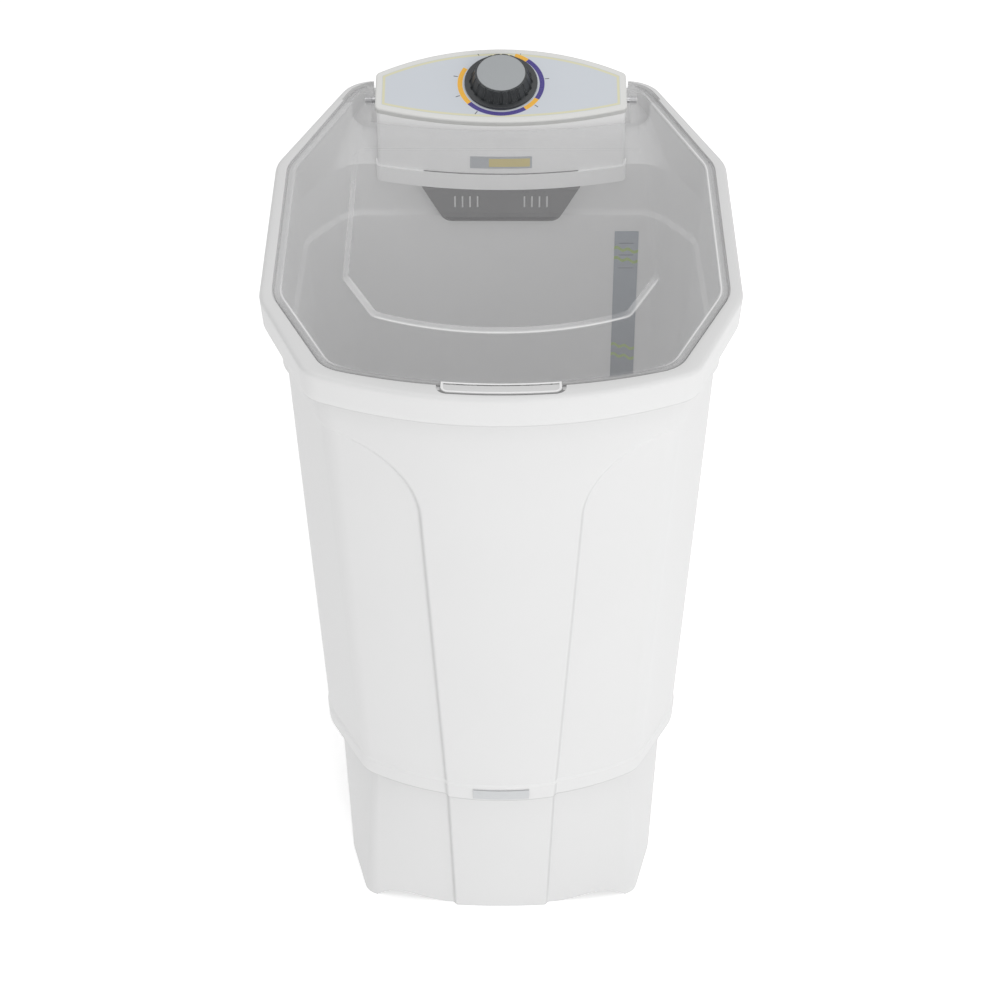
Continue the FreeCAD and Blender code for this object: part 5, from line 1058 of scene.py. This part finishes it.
def any_of(tap, stripes, soft=SOFT):
    """1 inside any of these stripes, each (centre, half), and 0 outside them all."""
    found = stripe(tap, *stripes[0], soft)
    for centre, half in stripes[1:]:
        found = found.most(stripe(tap, centre, half, soft))
    return found


def span(x, y):
    """Length of the vector (x, y)."""
    return (x * x + y * y) ** 0.5


TILT = math.radians(16.2)
KNOB_UP = 0.0655
FILM_GRAIN = 0.00002
FILM_HALF = 0.158
FILM_DEEP = 0.121
FRONT_RISE = 0.0225
REAR_RISE = 0.041
MARKS = (26.0, 82.0, 131.0, -148.0, -112.0, -78.0)
FILM_GROUND = (0.57, 0.60, 0.64)
FILM_YELLOW = (0.80, 0.42, 0.03)
FILM_PURPLE = (0.045, 0.028, 0.22)
film, shader, place = finish("dial_film_finish")
x, y, _ = place.moved((0.0, FRONT_Y + 0.556, 0.913), (TILT, 0.0, 0.0)).split()
up = y - KNOB_UP
radius = span(x, up)
turn = x.bearing(up) * (180.0 / math.pi)
ring = stripe(radius, 0.0518, 0.0031)
yellow = any_of(turn, ((30.0, 10.0), (132.5, 12.5), (-95.0, 35.0)), 0.4)
purple = any_of(turn, ((80.0, 40.0), (164.0, 19.0), (-156.0, 26.0)), 0.4)
marks = any_of(turn, [(-30.0, 0.5)] + [(mark, 0.55) for mark in MARKS], 0.2) * stripe(radius, 0.0585, 0.0028)
way = 1.0 / math.cos(TILT)
front_bow = bow_radius(FILM_HALF, FRONT_RISE * way)
rear_bow = bow_radius(FILM_HALF, REAR_RISE * way)
from_front = front_bow - span(x, y - front_bow)
from_rear = rear_bow - span(x, y - (FILM_DEEP * way - rear_bow))
from_edge = from_front.least(from_rear).least(FILM_HALF - abs(x))
line = stripe(from_edge, 0.0104, 0.0016, 0.0006)
wide = place.noise(9.0, 3.0)
ground = wide.tint(tuple(c * 0.97 for c in FILM_GROUND), FILM_GROUND)
print_colour = line.tint(ground, (0.64, 0.62, 0.43))
print_colour = (ring * yellow).tint(print_colour, FILM_YELLOW)
print_colour = (ring * purple).tint(print_colour, FILM_PURPLE)
print_colour = marks.tint(print_colour, (0.05, 0.05, 0.06))
dress(shader, print_colour, 0.3 + place.noise(700.0) * 0.06 - ring * 0.05, place.noise(900.0), FILM_GRAIN)
print("dial film", film.name)

# %% [markdown]
# The level strip inside the tub carries two pairs of green wave lines, one for a full load and a lower one for
# a small load, with thin bars about the upper pair. A wave is a stripe about a sine of the distance across.

# %% Level strip
STRIP_X = 0.1635
WAVE_X = 0.148
WAVE_LONG = 0.0145
WAVE_HIGH = 0.0017
strip, shader, place = finish("level_film_finish")
x, _, z = place.split()
ripple = WAVE_HIGH * ((x - WAVE_X) * (2 * math.pi / WAVE_LONG)).sine() - (x - STRIP_X) * 0.18
waves = any_of(z - ripple, [(at, 0.0023) for at in (0.707, 0.6915, 0.555, 0.539)])
bars = any_of(z, [(at, 0.0006) for at in (0.717, 0.699, 0.679)]) * stripe(x, STRIP_X, 0.0095)
# The ground is darker towards the bottom of the strip.
ground = z.ease(0.42, 0.72).tint((0.22, 0.245, 0.27), (0.33, 0.37, 0.42))
colour = bars.tint(waves.tint(ground, (0.30, 0.45, 0.04)), (0.12, 0.13, 0.15))
dress(shader, colour, 0.36 + place.noise(500.0) * 0.08, place.noise(900.0), FILM_GRAIN)
print("level film", strip.name)

# %% [markdown]
# The console's label is a grey foil with a yellow band. The badge is brushed foil, so its noise is drawn out
# along one direction. The console itself is a brighter white than the tub, and a faint white emission adds
# painted light to its shaded wall.

# %% Label, badge and console
label, shader, place = finish("label_film_finish")
x, _, z = place.split()
band = stripe(x, 0.0106, 0.0259) * stripe(z, 0.853, 0.006)
wide = place.noise(60.0)
ground = wide.tint((0.40, 0.42, 0.45), (0.45, 0.47, 0.50))
dress(shader, band.tint(ground, (0.66, 0.54, 0.16)), 0.34 + wide * 0.08, place.noise(900.0), FILM_GRAIN)

badge, shader, place = finish("badge_film_finish")
wide = place.moved((0.0, 0.0, 0.0), size=(8.0, 1.0, 1.0)).noise(700.0)
dress(shader, wide.tint((0.50, 0.51, 0.52), (0.56, 0.57, 0.58)), 0.3 + wide * 0.1, wide, FILM_GRAIN)
# Painted light: a faint white emission on the console housing and base.
console_white_painted_light = moulded("console_white_painted_light", (0.84, 0.84, 0.84), 0.4, Emission_Color=WHITE,
                        Emission_Strength=0.05)
printed = {"console_overlay": film, "level_strip": strip, "console_label": label, "badge_plate": badge,
           "console_housing": console_white_painted_light, "console_base": console_white_painted_light}
print("printed films", sorted(printed))

# %% [markdown]
# ## Metals
# The drive under the tub is steel, cast aluminium and brass. Turned and drawn metal has fine streaks, and a
# casting has a coarse skin, so the noise is stretched or coarser.

# %% Metal recipe
def metal(name, colour, shine, grain, stretch=(1.0, 1.0, 1.0), scale=400.0):
    """Bare metal: full Metallic, streaked noise in the roughness and a little relief."""
    material, shader, place = finish(name + "_finish", Metallic=1.0)
    streak = place.moved((0.0, 0.0, 0.0), size=stretch).noise(scale, 3.0)
    wide = place.noise(18.0, 3.0)
    tone = wide.tint(tuple(c * 0.88 for c in colour), colour)
    dress(shader, tone, shine - 0.08 + streak * 0.16, streak, grain)
    return material


for name, *sizes in (
        ("steel", (0.56, 0.56, 0.57), 0.3, 0.00003, (1.0, 1.0, 8.0)),
        ("cast_aluminium", (0.62, 0.63, 0.64), 0.5, 0.00012),
        ("bearing_brass", (0.62, 0.44, 0.2), 0.35, 0.00003),
        ("lamination", (0.33, 0.33, 0.34), 0.45, 0.0001, (8.0, 8.0, 1.0), 1200.0),
        ("capacitor_can", (0.6, 0.61, 0.62), 0.36, 0.00002, (1.0, 8.0, 1.0))):
    finishes[name] = metal(name, *sizes)
slot_of = {entry["node"]: entry["material_slot"] for entry in frame["record"]["subparts"]}
coats = [(piece, printed.get(name) or finishes[slot_of[name]]) for name, piece in nodes.items()]
shells = ((tub, "white_plastic"), (skirt, "white_plastic"), (lid, "smoked_clear"), (lint, "grey_plastic"),
          (liner, "filter_mesh"), (gap, "grey_plastic"))
coats += [(piece, finishes[slot]) for piece, slot in shells] + [(tab, tab_finish)]
for piece, coat in coats:
    piece.data.materials.clear()
    piece.data.materials.append(coat)
print("finished nodes", len(slot_of))
